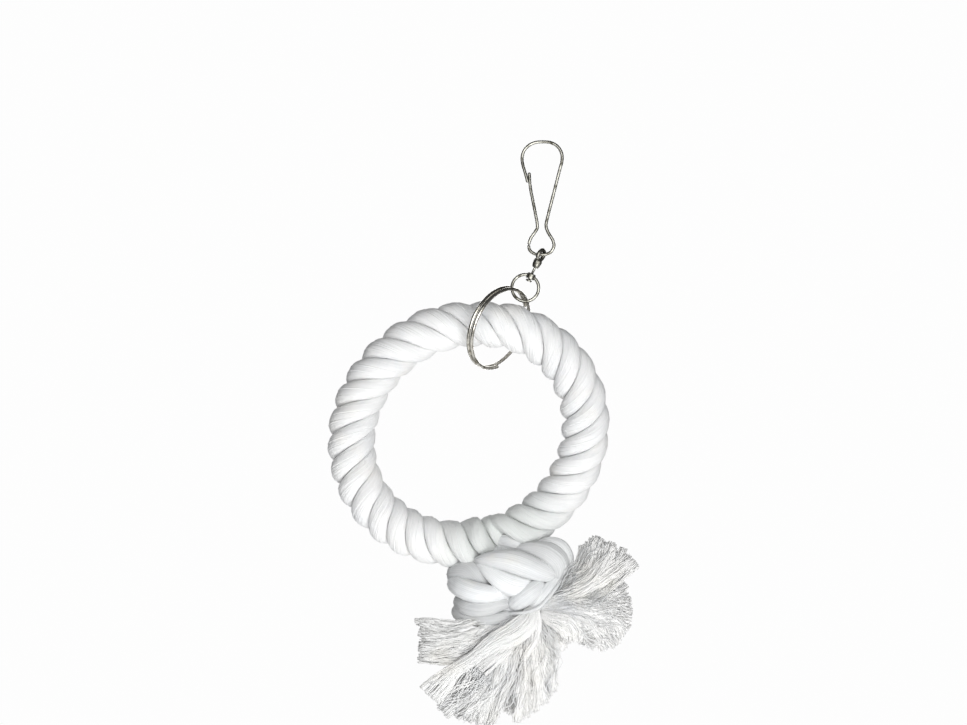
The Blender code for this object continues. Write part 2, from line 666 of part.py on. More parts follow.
def main():
    clear_scene()
    build_hook()
    build_swivel()
    build_split_ring()
    build_rope_ring()
    left = rope_end_sections(LEFT_END_DEG, -1.0, LEFT_TURN_DEG, LEFT_ELBOW, LEFT_FALL)
    build_rope_end("rope_end_left", left)
    right = rope_end_sections(RIGHT_END_DEG, 1.0, RIGHT_TURN_DEG, RIGHT_ELBOW, RIGHT_FALL)
    build_rope_end("rope_end_right", right)
    build_turns()
    build_tufts()


main()
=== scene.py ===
"""Rope bird swing: the cotton rope ring, its knot and frayed ends, and its nickel hardware.

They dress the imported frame. Sizes are in millimetres and angles in degrees.
"""

import math

import bpy
import numpy as np
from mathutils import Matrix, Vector


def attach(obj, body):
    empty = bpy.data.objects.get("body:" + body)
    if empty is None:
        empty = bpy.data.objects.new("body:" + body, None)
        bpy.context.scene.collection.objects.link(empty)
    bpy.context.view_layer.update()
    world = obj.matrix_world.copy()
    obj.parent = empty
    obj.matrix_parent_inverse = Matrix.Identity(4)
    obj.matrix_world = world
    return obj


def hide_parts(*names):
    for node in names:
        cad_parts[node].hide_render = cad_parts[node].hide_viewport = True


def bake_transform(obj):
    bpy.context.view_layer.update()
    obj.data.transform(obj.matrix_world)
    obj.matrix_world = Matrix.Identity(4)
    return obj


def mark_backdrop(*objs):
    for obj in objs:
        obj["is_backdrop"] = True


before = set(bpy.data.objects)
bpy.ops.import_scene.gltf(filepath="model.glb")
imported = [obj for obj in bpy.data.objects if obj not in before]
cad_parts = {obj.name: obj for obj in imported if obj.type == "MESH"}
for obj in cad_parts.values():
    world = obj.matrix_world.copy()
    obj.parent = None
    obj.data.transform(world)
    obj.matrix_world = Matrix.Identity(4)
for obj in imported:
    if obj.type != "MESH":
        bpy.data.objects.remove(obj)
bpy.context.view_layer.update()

MM = 0.001
TAU = 2 * math.pi
TO_BACK = np.array((0.0, 1.0, 0.0))
PHOTO_MM = 0.43                # millimetres of the swing to one pixel of the photograph
PHOTO_ORIGIN = (543.0, 143.5)  # the pixel that shows the top of the hook's bow
PHOTO_SIZE = (967, 725)


# Small helpers

FLOW_STEPS = 24   # fine steps between two given places
DOME_TIP = 0.02   # how blunt the very tip of a rounded end is


def spot(u, v, y, *rest):
    """A place in millimetres from a pixel of the photograph and a depth, with its sizes carried along."""
    return ((u - PHOTO_ORIGIN[0]) * PHOTO_MM, y, (PHOTO_ORIGIN[1] - v) * PHOTO_MM, *rest)


def spots(rows):
    return np.array([spot(*row) for row in rows], float)


def unit(vectors):
    vectors = np.asarray(vectors, float)
    return vectors / np.maximum(np.linalg.norm(vectors, axis=-1, keepdims=True), 1e-12)


def ease(share):
    share = np.clip(share, 0, 1)
    return share * share * (3 - 2 * share)


def round_angles(sides):
    return np.linspace(0, TAU, sides, endpoint=False)


def run_along(line):
    """How far along a line each of its places lies."""
    return np.concatenate([[0], np.cumsum(np.linalg.norm(np.diff(line, axis=0), axis=1))])


def flow(points, step=None, count=None):
    """A smooth run through given places. Columns after the third, such as sizes, flow along."""
    p = np.asarray(points, float)
    gap = np.sqrt(np.linalg.norm(np.diff(p[:, :3], axis=0), axis=1))
    slope = np.diff(p, axis=0) / gap[:, None]
    lean = np.empty_like(p)
    lean[1:-1] = (slope[:-1] * gap[1:, None] + slope[1:] * gap[:-1, None]) / (gap[:-1] + gap[1:])[:, None]
    lean[0] = 1.5 * slope[0] - 0.5 * lean[1]
    lean[-1] = 1.5 * slope[-1] - 0.5 * lean[-2]
    fine = []
    for i, h in enumerate(gap):
        t = np.linspace(0, 1, FLOW_STEPS, endpoint=i == len(gap) - 1)[:, None]
        fine.append(
            (2 * t**3 - 3 * t**2 + 1) * p[i] + (t**3 - 2 * t**2 + t) * h * lean[i]
            + (3 * t**2 - 2 * t**3) * p[i + 1] + (t**3 - t**2) * h * lean[i + 1]
        )
    fine = np.vstack(fine)
    run = run_along(fine[:, :3])
    at = np.linspace(0, run[-1], count or max(3, int(run[-1] / step) + 1))
    return np.column_stack([np.interp(at, run, fine[:, k]) for k in range(p.shape[1])])


def steady_sides(line):
    """Two directions across a wire that do not spin along it."""
    ahead = unit(np.gradient(line, axis=0))
    across = np.empty_like(line)
    v = np.array((0.0, 1.0, 0.0) if abs(ahead[0][1]) < 0.9 else (1.0, 0.0, 0.0))
    for i, a in enumerate(ahead):
        v = unit(v - a * (v @ a))
        across[i] = v
    return across, np.cross(ahead, across)


def rings_about(line, across, face, sideways, upwards):
    """Rings about a line, from how far each place lies across it and towards its face."""
    return line[:, None] + across[:, None] * sideways[..., None] + face[:, None] * upwards[..., None]


def domed(near):
    """The share of its full size that a rounded end has, from its tip to where the dome stops."""
    return np.sqrt(np.clip(1 - np.clip(1 - near, 0, 1) ** 2, DOME_TIP, 1))


def side_faces(rows, sides, run, endless):
    """Corners and lay map of the faces along a skin."""
    i, j = np.meshgrid(np.arange(rows - 1), np.arange(sides), indexing="ij")
    i, j = i.ravel(), j.ravel()
    beside = (j + 1) % sides
    after = (i + 1) % (rows - 1) if endless else i + 1
    corners = np.column_stack([i * sides + j, i * sides + beside, after * sides + beside, after * sides + j])
    ends = ((i, j), (i, j + 1), (i + 1, j + 1), (i + 1, j))
    return corners, np.stack([np.column_stack([run[row], side / sides]) for row, side in ends], axis=1)


def end_faces(rows, sides, run):
    """Corners and lay map of the fans that close a skin's two ends about their middles."""
    s = np.arange(sides)
    n = (s + 1) % sides
    first, last, end = rows * sides, rows * sides + 1, (rows - 1) * sides
    corners = np.vstack([np.column_stack([np.full(sides, first), n, s]),
                         np.column_stack([np.full(sides, last), end + s, end + n])])
    lay = np.zeros((2 * sides, 3, 2))
    lay[:sides, :, 0], lay[sides:, :, 0] = run[0], run[-1]
    lay[:sides, 1, 1], lay[:sides, 2, 1] = (s + 1) / sides, s / sides
    lay[sides:, 1, 1], lay[sides:, 2, 1] = s / sides, (s + 1) / sides
    return corners, lay


def closed_skin(rings):
    """Places of one skin, and its faces as corners and lay map, facing outwards. A skin is an array of rings,
    ring by ring along it; one whose last ring repeats its first is joined end to end."""
    rings = np.asarray(rings, float)
    rows, sides = rings.shape[:2]
    middle = rings.mean(axis=1)
    run = run_along(middle)
    endless = np.allclose(rings[0], rings[-1])
    faces = [side_faces(rows, sides, run, endless)]
    if endless:
        places = rings[:-1].reshape(-1, 3)
    else:
        places = np.vstack([rings.reshape(-1, 3), middle[:1], middle[-1:]])
        faces.append(end_faces(rows, sides, run))
    a, b, c = (places[faces[0][0][:, k]] for k in range(3))
    if np.einsum("ij,ij->i", a - middle.mean(axis=0), np.cross(b - a, c - a)).sum() < 0:
        faces = [(corners[:, ::-1], lay[:, ::-1]) for corners, lay in faces]
    return places, faces


def piece(name, skins, material, body=None, replaces=()):
    """One object from closed skins in millimetres, on its body, with its finish and the nodes it stands for.
    Its lay map holds the millimetres along, and the skin's number plus the share of the way round."""
    places, corners, totals, lay = [], [], [], []
    base = 0
    for number, rings in enumerate(skins):
        skin, faces = closed_skin(rings)
        for face_corners, face_lay in faces:
            corners.append((base + face_corners).ravel())
            totals.append(np.full(len(face_corners), face_corners.shape[1]))
            lay.append(face_lay.reshape(-1, 2) + (0, number))
        places.append(skin)
        base += len(skin)
    places = np.vstack(places) * MM
    corners, totals, lay = np.concatenate(corners), np.concatenate(totals), np.vstack(lay)
    mesh = bpy.data.meshes.new(name)
    mesh.vertices.add(len(places))
    mesh.vertices.foreach_set("co", places.astype(np.float32).ravel())
    mesh.loops.add(len(corners))
    mesh.loops.foreach_set("vertex_index", corners.astype(np.int32))
    mesh.polygons.add(len(totals))
    mesh.polygons.foreach_set("loop_start", (np.cumsum(totals) - totals).astype(np.int32))
    mesh.polygons.foreach_set("loop_total", totals.astype(np.int32))
    mesh.polygons.foreach_set("use_smooth", np.full(len(totals), True))
    mesh.update(calc_edges=True)
    uv = mesh.uv_layers.new(name="lay")
    uv.data.foreach_set("uv", lay.astype(np.float32).ravel())
    mesh.materials.append(material)
    made = bpy.data.objects.new(name, mesh)
    bpy.context.scene.collection.objects.link(made)
    if replaces:
        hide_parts(*replaces)
    if body:
        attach(made, body)
    return made


# Shader nodes

COLOUR, VALUE, PLACE = "NodeSocketColor", "NodeSocketFloat", "NodeSocketVector"


def node(tree, kind, values=None, **settings):
    made = tree.nodes.new(kind)
    for key, value in settings.items():
        setattr(made, key, value)
    for key, value in (values or {}).items():
        if isinstance(value, bpy.types.NodeSocket):
            tree.links.new(value, made.inputs[key])
        else:
            made.inputs[key].default_value = value
    return made


def maths(tree, operation, a, b=0.0):
    return node(tree, "ShaderNodeMath", {0: a, 1: b}, operation=operation).outputs[0]


def noise(tree, vector, scale, detail, roughness=0.5):
    values = {"Vector": vector, "Scale": scale, "Detail": detail, "Roughness": roughness}
    return node(tree, "ShaderNodeTexNoise", values).outputs[0]


def between(tree, value, low, high):
    """A value's share of the way from one limit to another, held at both."""
    return node(tree, "ShaderNodeMapRange", {0: value, 1: low, 2: high}).outputs[0]


def mixed(tree, share, first, second):
    """A colour that is a share of the way from one to another."""
    return node(tree, "ShaderNodeMix", {0: share, 6: first, 7: second}, data_type="RGBA").outputs[2]


def lay_map(tree):
    """Millimetres along a strand or wire, and the share of the way round it."""
    lay = node(tree, "ShaderNodeSeparateXYZ", {0: node(tree, "ShaderNodeUVMap", uv_map="lay").outputs[0]})
    return lay.outputs[0], lay.outputs[1]


def new_group(name, inputs, outputs):
    """A shader node group with named sockets. Returns its tree, its inputs and its output node."""
    tree = bpy.data.node_groups.new(name, "ShaderNodeTree")
    for label, kind, value in inputs:
        socket = tree.interface.new_socket(name=label, in_out="INPUT", socket_type=kind)
        socket.default_value = value
    for label, kind in outputs:
        tree.interface.new_socket(name=label, in_out="OUTPUT", socket_type=kind)
    return tree, tree.nodes.new("NodeGroupInput").outputs, tree.nodes.new("NodeGroupOutput")


def new_material(name, **sockets):
    """A material with one Principled shader whose even values are set on its own sockets."""
    made = bpy.data.materials.new(name)
    made.use_nodes = True
    tree = made.node_tree
    tree.nodes.clear()
    shader = node(tree, "ShaderNodeBsdfPrincipled", sockets)
    tree.links.new(shader.outputs[0], node(tree, "ShaderNodeOutputMaterial").inputs[0])
    return made, tree, shader


def place_group(tree, group, **values):
    made = tree.nodes.new("ShaderNodeGroup")
    made.node_tree = group
    for key, value in values.items():
        made.inputs[key.replace("_", " ")].default_value = value
    return made


# Effects that the finishes share

COOL_CLOUDS, WARM_CLOUDS = (0.46, 0.70), (0.55, 0.75)   # noise values over which a cloud comes up
COOL_DETAIL, COOL_ROUGHNESS, WARM_DETAIL = 6.0, 0.65, 2.0
WARM_SHIFT = (0.31, 0.17, 0.53)    # the warm clouds come from another part of the noise
PAINTED_SHADE_CORE = 0.4                    # within this share of its reach the painted shade is at its full
FIBRE_DETAIL, FIBRE_ROUGHNESS = 4.0, 0.6
GROOVE_SHADE_TOP, GROOVE_SHADE_BOTTOM = 0.5, 0.15   # heights between which a groove gets its painted shade
MARK_CLOUDS, MARK_DETAIL = (0.45, 0.72), 4.0
DRAWN_ALONG, DRAWN_ROUND, DRAWN_DETAIL = 0.4, 40.0, 3.0   # drawing lines to a millimetre and to a turn


def make_tone_group():
    """Undyed cotton: broad clouds of cooler and warmer white, and painted shade about one place."""
    tree, given, out = new_group(
        "cotton_tone",
        [("Clean", COLOUR, (0.9, 0.9, 0.9, 1)), ("Cool", COLOUR, (0.8, 0.8, 0.8, 1)),
         ("Warm", COLOUR, (0.8, 0.8, 0.7, 1)), ("Clouds to a metre", VALUE, 60.0),
         ("Soiled", COLOUR, (0.7, 0.7, 0.7, 1)), ("Soil place", PLACE, (0, 0, 0)),
         ("Soil reach", VALUE, 0.0001)],
        [("Color", COLOUR)])
    place = node(tree, "ShaderNodeTexCoord").outputs["Object"]
    cool = noise(tree, place, given["Clouds to a metre"], COOL_DETAIL, COOL_ROUGHNESS)
    far = node(tree, "ShaderNodeMapping", {"Vector": place, "Location": WARM_SHIFT}).outputs[0]
    warm = noise(tree, far, given["Clouds to a metre"], WARM_DETAIL)
    away = node(tree, "ShaderNodeVectorMath", {0: place, 1: given["Soil place"]}, operation="DISTANCE")
    core = maths(tree, "MULTIPLY", given["Soil reach"], PAINTED_SHADE_CORE)
    tone = mixed(tree, between(tree, cool, *COOL_CLOUDS), given["Clean"], given["Cool"])
    tone = mixed(tree, between(tree, warm, *WARM_CLOUDS), tone, given["Warm"])
    painted_shade = between(tree, away.outputs["Value"], given["Soil reach"], core)
    tree.links.new(mixed(tree, painted_shade, tone, given["Soiled"]), out.inputs["Color"])
    return tree


def make_lines_group():
    """Yarn and ply lines from the lay map: ridges that run along a strand and lean with its twist, with
    stretched fibre noise, and a mask of the grooves between them for painted shade."""
    tree, given, out = new_group(
        "yarn_lines",
        [("Yarns round", VALUE, 24.0), ("Lean", VALUE, 0.05), ("Fibre stretch", VALUE, 0.25),
         ("Fibre count", VALUE, 120.0), ("Fibre share", VALUE, 0.5), ("Tone lines", VALUE, 1.0)],
        [("Height", VALUE), ("Groove shade", VALUE), ("Yarn", VALUE)])
    along, around = lay_map(tree)
    turns = maths(tree, "ADD", maths(tree, "MULTIPLY", around, given["Yarns round"]),
                  maths(tree, "MULTIPLY", along, given["Lean"]))
    ridge = maths(tree, "ABSOLUTE", maths(tree, "SINE", maths(tree, "MULTIPLY", turns, math.pi)))
    fibres = maths(tree, "DIVIDE", given["Fibre count"], given["Yarns round"])
    stretched = node(tree, "ShaderNodeCombineXYZ", {
        0: maths(tree, "MULTIPLY", along, given["Fibre stretch"]), 1: maths(tree, "MULTIPLY", turns, fibres)})
    fibre = noise(tree, stretched.outputs[0], 1.0, FIBRE_DETAIL, FIBRE_ROUGHNESS)
    height = node(tree, "ShaderNodeMix", {0: given["Fibre share"], 2: ridge, 3: fibre}, data_type="FLOAT")
    line = maths(tree, "FLOOR", maths(tree, "MULTIPLY", around, given["Tone lines"]))
    own = node(tree, "ShaderNodeTexWhiteNoise", {"W": line}, noise_dimensions="1D")
    tree.links.new(height.outputs[0], out.inputs["Height"])
    tree.links.new(between(tree, height.outputs[0], GROOVE_SHADE_TOP, GROOVE_SHADE_BOTTOM), out.inputs["Groove shade"])
    tree.links.new(own.outputs[0], out.inputs["Yarn"])
    return tree


def make_wear_group():
    """Bright plating: faint drawing lines and handling marks that dull it."""
    tree, given, out = new_group(
        "plating_wear",
        [("Polish", VALUE, 0.1), ("Dulling", VALUE, 0.2), ("Marks to a metre", VALUE, 400.0)],
        [("Roughness", VALUE), ("Marks", VALUE), ("Height", VALUE)])
    place = node(tree, "ShaderNodeTexCoord").outputs["Object"]
    marks = between(tree, noise(tree, place, given["Marks to a metre"], MARK_DETAIL), *MARK_CLOUDS)
    rough = maths(tree, "ADD", given["Polish"], maths(tree, "MULTIPLY", marks, given["Dulling"]))
    along, around = lay_map(tree)
    drawn = node(tree, "ShaderNodeCombineXYZ", {0: maths(tree, "MULTIPLY", along, DRAWN_ALONG),
                                                1: maths(tree, "MULTIPLY", around, DRAWN_ROUND)})
    tree.links.new(rough, out.inputs["Roughness"])
    tree.links.new(marks, out.inputs["Marks"])
    tree.links.new(noise(tree, drawn.outputs[0], 1.0, DRAWN_DETAIL), out.inputs["Height"])
    return tree


tone_group, lines_group, wear_group = make_tone_group(), make_lines_group(), make_wear_group()


# Finishes

COTTON_CLOUDS = 55.0       # clouds of tone to a metre
FIBRES_TO_A_YARN = 5
COTTON_RELIEF, PLATE_RELIEF = 0.7, 0.25   # how strongly the lines show as relief
DRAWN_DEPTH = 0.05
PAINTED_SHADE_SPOT, PAINTED_SHADE_REACH = (504, 543, -6), 34.0   # the rope gets painted shade where it goes into the knot
# How the yarns lie in a thick strand, and in one thin yarn.
STRAND_YARNS = dict(yarns=34.0, lean=0.06, fibre_share=0.6, bump=0.16, tone_lines=34.0)
LOOSE_YARN = dict(yarns=3.0, lean=0.9, fibre_share=0.35, bump=0.08, tone_lines=1.0)
# Clean, cool and warm cotton, and the dull tone that is also painted into the grooves as shade.
KNOT_WHITES = ((0.80, 0.81, 0.81), (0.71, 0.73, 0.75), (0.82, 0.80, 0.73), (0.60, 0.61, 0.62))


def cotton(name, tones, sheen, tone_share, yarns, lean, fibre_share, bump, tone_lines, **painted_shade):
    """Cotton yarn laid side by side: tone clouds, yarns that differ a little, painted shade in the grooves
    and fibre lines. The tones are the clean, cool and warm cotton, and a dull tone that duller yarns lean to
    and that the grooves get as painted shade."""
    clean, cool, warm, dull_and_groove_shade = ((*tone, 1) for tone in tones)
    made, tree, shader = new_material(name, **{
        "Roughness": 0.9, "Sheen Weight": sheen, "Sheen Roughness": 0.5, "Specular IOR Level": 0.2})
    tone = place_group(tree, tone_group, Clean=clean, Cool=cool, Warm=warm,
                       Clouds_to_a_metre=COTTON_CLOUDS, **painted_shade)
    lines = place_group(tree, lines_group, Yarns_round=yarns, Lean=lean, Fibre_count=yarns * FIBRES_TO_A_YARN,
                        Fibre_share=fibre_share, Tone_lines=tone_lines)
    own = maths(tree, "MULTIPLY", lines.outputs["Yarn"], tone_share)
    duller = mixed(tree, own, tone.outputs[0], dull_and_groove_shade)
    tree.links.new(mixed(tree, lines.outputs["Groove shade"], duller, dull_and_groove_shade), shader.inputs["Base Color"])
    relief = {"Height": lines.outputs["Height"], "Strength": COTTON_RELIEF, "Distance": bump * MM}
    tree.links.new(node(tree, "ShaderNodeBump", relief).outputs[0], shader.inputs["Normal"])
    return made


def nickel(name, colour, stain, polish, dulling):
    """Nickel plate: bright, a little stained and dulled where it is handled."""
    made, tree, shader = new_material(name, **{"Metallic": 1.0})
    wear = place_group(tree, wear_group, Polish=polish, Dulling=dulling)
    shade = mixed(tree, wear.outputs["Marks"], (*colour, 1), (*stain, 1))
    tree.links.new(shade, shader.inputs["Base Color"])
    tree.links.new(wear.outputs["Roughness"], shader.inputs["Roughness"])
    relief = {"Height": wear.outputs["Height"], "Strength": PLATE_RELIEF, "Distance": DRAWN_DEPTH * MM}
    tree.links.new(node(tree, "ShaderNodeBump", relief).outputs[0], shader.inputs["Normal"])
    return made


def knot_painted_light(name, share):
    """Copies of the knot's cotton, which is a little greyer than the ring's, at a share of its brightness: a
    lighter copy is painted light and darker copies are painted shade, more on some strands than on others.
    """
    tones = [tuple(share * v for v in tone) for tone in KNOT_WHITES]
    return cotton(name, tones, sheen=0.1, tone_share=0.25, **STRAND_YARNS)


# The ring's cotton darkens towards the knot: painted shade.
strand_cotton = cotton(
    "strand_cotton", ((0.87, 0.87, 0.865), (0.79, 0.80, 0.815), (0.87, 0.855, 0.82), (0.66, 0.67, 0.68)),
    sheen=0.1, tone_share=0.25, **STRAND_YARNS, Soiled=(0.70, 0.72, 0.70, 1),
    Soil_place=tuple(v * MM for v in spot(*PAINTED_SHADE_SPOT)), Soil_reach=PAINTED_SHADE_REACH * MM)
# Lighter and darker copies of the knot's cotton: painted light and painted shade for single strands.
knot_painted_lit = knot_painted_light("knot_painted_lit", 1.05)
knot_cotton = knot_painted_light("knot_cotton", 0.92)
knot_painted_shade = knot_painted_light("knot_painted_shade", 0.81)
knot_painted_deep_shade = knot_painted_light("knot_painted_deep_shade", 0.74)
yarn_cotton = cotton(
    "yarn_cotton", ((0.90, 0.895, 0.885), (0.84, 0.84, 0.84), (0.89, 0.875, 0.84), (0.72, 0.72, 0.71)),
    sheen=0.45, tone_share=0.4, **LOOSE_YARN)
yarn_soft = cotton(
    "yarn_soft", ((0.84, 0.84, 0.83), (0.77, 0.775, 0.77), (0.83, 0.815, 0.775), (0.66, 0.66, 0.65)),
    sheen=0.35, tone_share=0.4, **LOOSE_YARN)
# A darker copy of the yarn cotton for tufts and bundles that lie in shade: painted shade.
yarn_painted_shade = cotton(
    "yarn_painted_shade", ((0.85, 0.845, 0.835), (0.77, 0.77, 0.77), (0.84, 0.825, 0.785), (0.62, 0.62, 0.61)),
    sheen=0.2, tone_share=0.5, **LOOSE_YARN)
nickel_plate = nickel("nickel_plate", (0.60, 0.58, 0.53), (0.17, 0.155, 0.115), polish=0.15, dulling=0.25)
wire_nickel = nickel("wire_nickel", (0.33, 0.325, 0.29), (0.06, 0.055, 0.04), polish=0.27, dulling=0.20)
hoop_steel = nickel("hoop_steel", (0.45, 0.44, 0.43), (0.30, 0.27, 0.24), polish=0.35, dulling=0.25)


# Rope ring

RING_CENTRE = np.array((-32.068, 0.0, -124.508))
RING_LONG_HALF, RING_SHORT_HALF, RING_TILT = 51.4, 46.5, 28.6
BEARING_STEP = 0.1         # for the way ahead
STRANDS = 3
STRAND_APART = 360 / STRANDS
STRAND_ROWS, CROWN_PLACES = 760, 67
STRAND_HALF_ANGLE = 59.2   # half the angle that one strand fills in the rope's section
ROPE_CROWN = 10.0          # a strand's crown from the middle of the rope
UPRIGHT_SWELL = 0.25       # what the upright parts of the ring add to it
FULLNESS = 2.25            # how square a strand's crown is: 2 is round
ROPE_CREASE = 6.0          # the bottom of the crease between two strands
STRAND_INNER = 3.0         # a strand's foot beside the hoop
FOOT_STEPS = np.array((0.7, 0.4, 0.15))   # shares of the way from the foot up to the crease
FOOT_EDGE = 0.985          # where the foot's sides lie, as a share of the half angle
# The split ring squeezes the rope here and flattens the ring.
SEAT_DEG, SEAT_REACH, SEAT_PINCH, SEAT_SAG = 86.0, 14.0, 0.3, 0.9
# Its far side presses the rope's inner back when the swing rocks.
PRESS_DEG, PRESS_REACH, PRESS_INWARDS, PRESS_DEPTH, PRESS_SHARE = 57.5, 5, 6, 5, 0.65
# The left end is fuller where it goes into the knot.
LEFT_SWELL_DEG, LEFT_SWELL_REACH, LEFT_SWELL = 271, 9, 1.3
# Ends that turn off the ring: a bearing, the degrees until the turn is whole, and how far it goes.
LEFT_END_BACK, RIGHT_END_FRONT = (276, 18, 5.0), (-52, -20, -2.5)
LEFT_END_DOWN, LEFT_END_DIVE = (279, 14, 2.5), (291, 9, 6)
LAY_LEAN = 0.25            # how far the strands lean up behind the upright parts of the ring
STEEPER_LAY = ((190, 25, 0.28), (255, 20, 0.12))   # the lay crosses the lower left more steeply, from here on
STEEPER_SOFTLY = 4.0       # how softly that starts inside the middle of the rope
END_TAPER_DEG, END_SIZE = 6, 0.25   # a strand's end tapers over these degrees to this share of its size
LUMPS = ((0.10, 0.31, 2.1), (0.08, 0.83, 4.7))     # height, pace and shift from strand to strand
YARN_RIDGES = ((0.05, 6.3, 1.0), (0.05, 4.6, 0.6), (0.04, 8.4, 1.4), (0.05, 2.7, 0.8))   # height, lines, pace
RIDGE_SHIFT = 0.37         # from strand to strand
RIDGE_DRIFT, RIDGE_WANDER, WANDER_PACE = 0.020, 0.25, 0.13   # the ridges slant and wander
# Where the creases cross the ring's outer edge, in degrees, from the left rope end round to the right one.
CREASES = (326, 315, 303.5, 292, 280.5, 268.5, 256.5, 244.5, 234, 224, 213, 202, 192, 181.5, 170, 158.5,
           146, 132.5, 119, 103.5, 88.7, 75.7, 61.7, 48.7, 38, 25.5, 13, 1.5, -10.5, -22.5, -34.5, -47,
           -59.5, -71.5, -83.5)
# Where each strand stops inside the knot.
LEFT_ENDS, RIGHT_ENDS = (302.0, 296.0, 300.0), (-64.0, -80.0, -75.0)


def come_in(degrees, start, whole, size):
    """Nothing before a bearing, and a full size some degrees after it."""
    return size * ease((degrees - start) / whole)


def swell(degrees, at, reach):
    """One at a bearing, and less and less away from it."""
    return np.exp(-((degrees - at) / reach) ** 2)


def ring_places(degrees):
    """Places on the oval that the middle of the rope follows."""
    t = np.radians(degrees - RING_TILT)
    r = RING_LONG_HALF * RING_SHORT_HALF / np.hypot(RING_SHORT_HALF * np.cos(t), RING_LONG_HALF * np.sin(t))
    a = np.radians(degrees)
    return RING_CENTRE + r[:, None] * np.column_stack([np.cos(a), np.zeros_like(a), np.sin(a)])


def rope_middle(degrees):
    """Middle of the rope, clockwise, with the way ahead, the way outwards and the way to its side."""
    ahead = unit(ring_places(degrees - BEARING_STEP) - ring_places(degrees + BEARING_STEP))
    outward = np.column_stack([-ahead[:, 2], np.zeros(len(ahead)), ahead[:, 0]])
    back = come_in(degrees, *LEFT_END_BACK) + come_in(degrees, *RIGHT_END_FRONT)
    down = come_in(degrees, *LEFT_END_DOWN) + come_in(degrees, *LEFT_END_DIVE)
    middle = ring_places(degrees) + np.outer(back, (0, 1, 0)) - np.outer(down, (0, 0, 1))
    middle = middle - outward * SEAT_SAG * swell(degrees, SEAT_DEG, SEAT_REACH)[:, None]
    return middle, ahead, outward, np.cross(ahead, outward)


def strand_crown(number, degrees, ahead, share):
    """How far a strand's face lies from the middle of the rope, with its lumps and yarn ridges."""
    crown = (ROPE_CROWN + UPRIGHT_SWELL * ahead[:, 2] ** 2
             - SEAT_PINCH * swell(degrees, SEAT_DEG, SEAT_REACH)
             + LEFT_SWELL * swell(degrees, LEFT_SWELL_DEG, LEFT_SWELL_REACH))
    lump = sum(height * np.sin(degrees * pace + shift * number) for height, pace, shift in LUMPS)
    bulge = np.clip(1 - np.abs(share) ** FULLNESS, 0, 1) ** (1 / FULLNESS)
    drift = (RIDGE_DRIFT * degrees + RIDGE_WANDER * np.sin(degrees * WANDER_PACE + number))[:, None]
    ridge = sum(height * np.cos(TAU * (lines * share[None, :] + RIDGE_SHIFT * number + pace * drift))
                for height, lines, pace in YARN_RIDGES)
    return ROPE_CREASE + (crown + lump - ROPE_CREASE)[:, None] * bulge + ridge * bulge


def rope_strand(number):
    """One fat strand of the rope ring, with its yarn ridges, as closed rings."""
    degrees = np.linspace(LEFT_ENDS[number], RIGHT_ENDS[number], STRAND_ROWS)
    middle, ahead, outward, side = rope_middle(degrees)
    share = np.linspace(-1, 1, CROWN_PLACES)
    foot = STRAND_INNER + (ROPE_CREASE - STRAND_INNER) * FOOT_STEPS
    foot = np.tile(np.concatenate([foot, foot[::-1]]), (len(degrees), 1))
    reach = np.concatenate([strand_crown(number, degrees, ahead, share), foot], axis=1)
    ends = np.minimum(come_in(-degrees, -LEFT_ENDS[number], END_TAPER_DEG, 1),
                      come_in(degrees, RIGHT_ENDS[number], END_TAPER_DEG, 1))
    reach = reach * (END_SIZE + (1 - END_SIZE) * np.sqrt(ends))[:, None]
    count = np.interp(-degrees, -np.array(CREASES), np.arange(len(CREASES)))
    turn = np.radians(STRAND_APART * (count + 0.5 + number))
    edges = np.repeat((FOOT_EDGE, -FOOT_EDGE), len(FOOT_STEPS))
    angle = turn[:, None] + np.concatenate([share, edges]) * math.radians(STRAND_HALF_ANGLE)
    outwards, sidewards = reach * np.cos(angle), reach * np.sin(angle)
    rings = rings_about(middle, outward, side, outwards, sidewards)
    pressed = swell(degrees, PRESS_DEG, PRESS_REACH)[:, None] * np.clip(-outwards / PRESS_INWARDS, 0, 1)
    behind = rings[..., 1] - middle[:, None, 1]
    rings[..., 1] -= PRESS_SHARE * pressed * np.clip(behind - PRESS_DEPTH, 0, None)
    steeper = sum(come_in(degrees, *row) for row in STEEPER_LAY)
    inwards = (np.hypot(outwards, STEEPER_SOFTLY) - outwards - STEEPER_SOFTLY) / 2
    lean = LAY_LEAN * ahead[:, None, 2] * (rings[..., 1] - middle[:, None, 1]) - steeper[:, None] * inwards
    return rings + ahead[:, None] * lean[..., None]


for number in range(STRANDS):
    piece(f"rope_strand_{number + 1}", [rope_strand(number)], strand_cotton, "rope_ring",
          [f"strand_{number + 1}"])
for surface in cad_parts["core_wire"].material_slots:
    surface.material = hoop_steel


# Knot

KNOT_HEART = np.array((-14.5, 0.0, -187.0))   # the strands face away from here
STRAND_TWIST = 0.05                           # how many yarns the ridges shift by in a millimetre
YARN_WAVES = ((0, 1.0), (-9, 0.5), (8, 1.6))  # yarns more or fewer, and how fast they twist
UNEVEN_SHARE, UNEVEN_PACE = 0.25, 0.37        # the ridges come and go along a strand


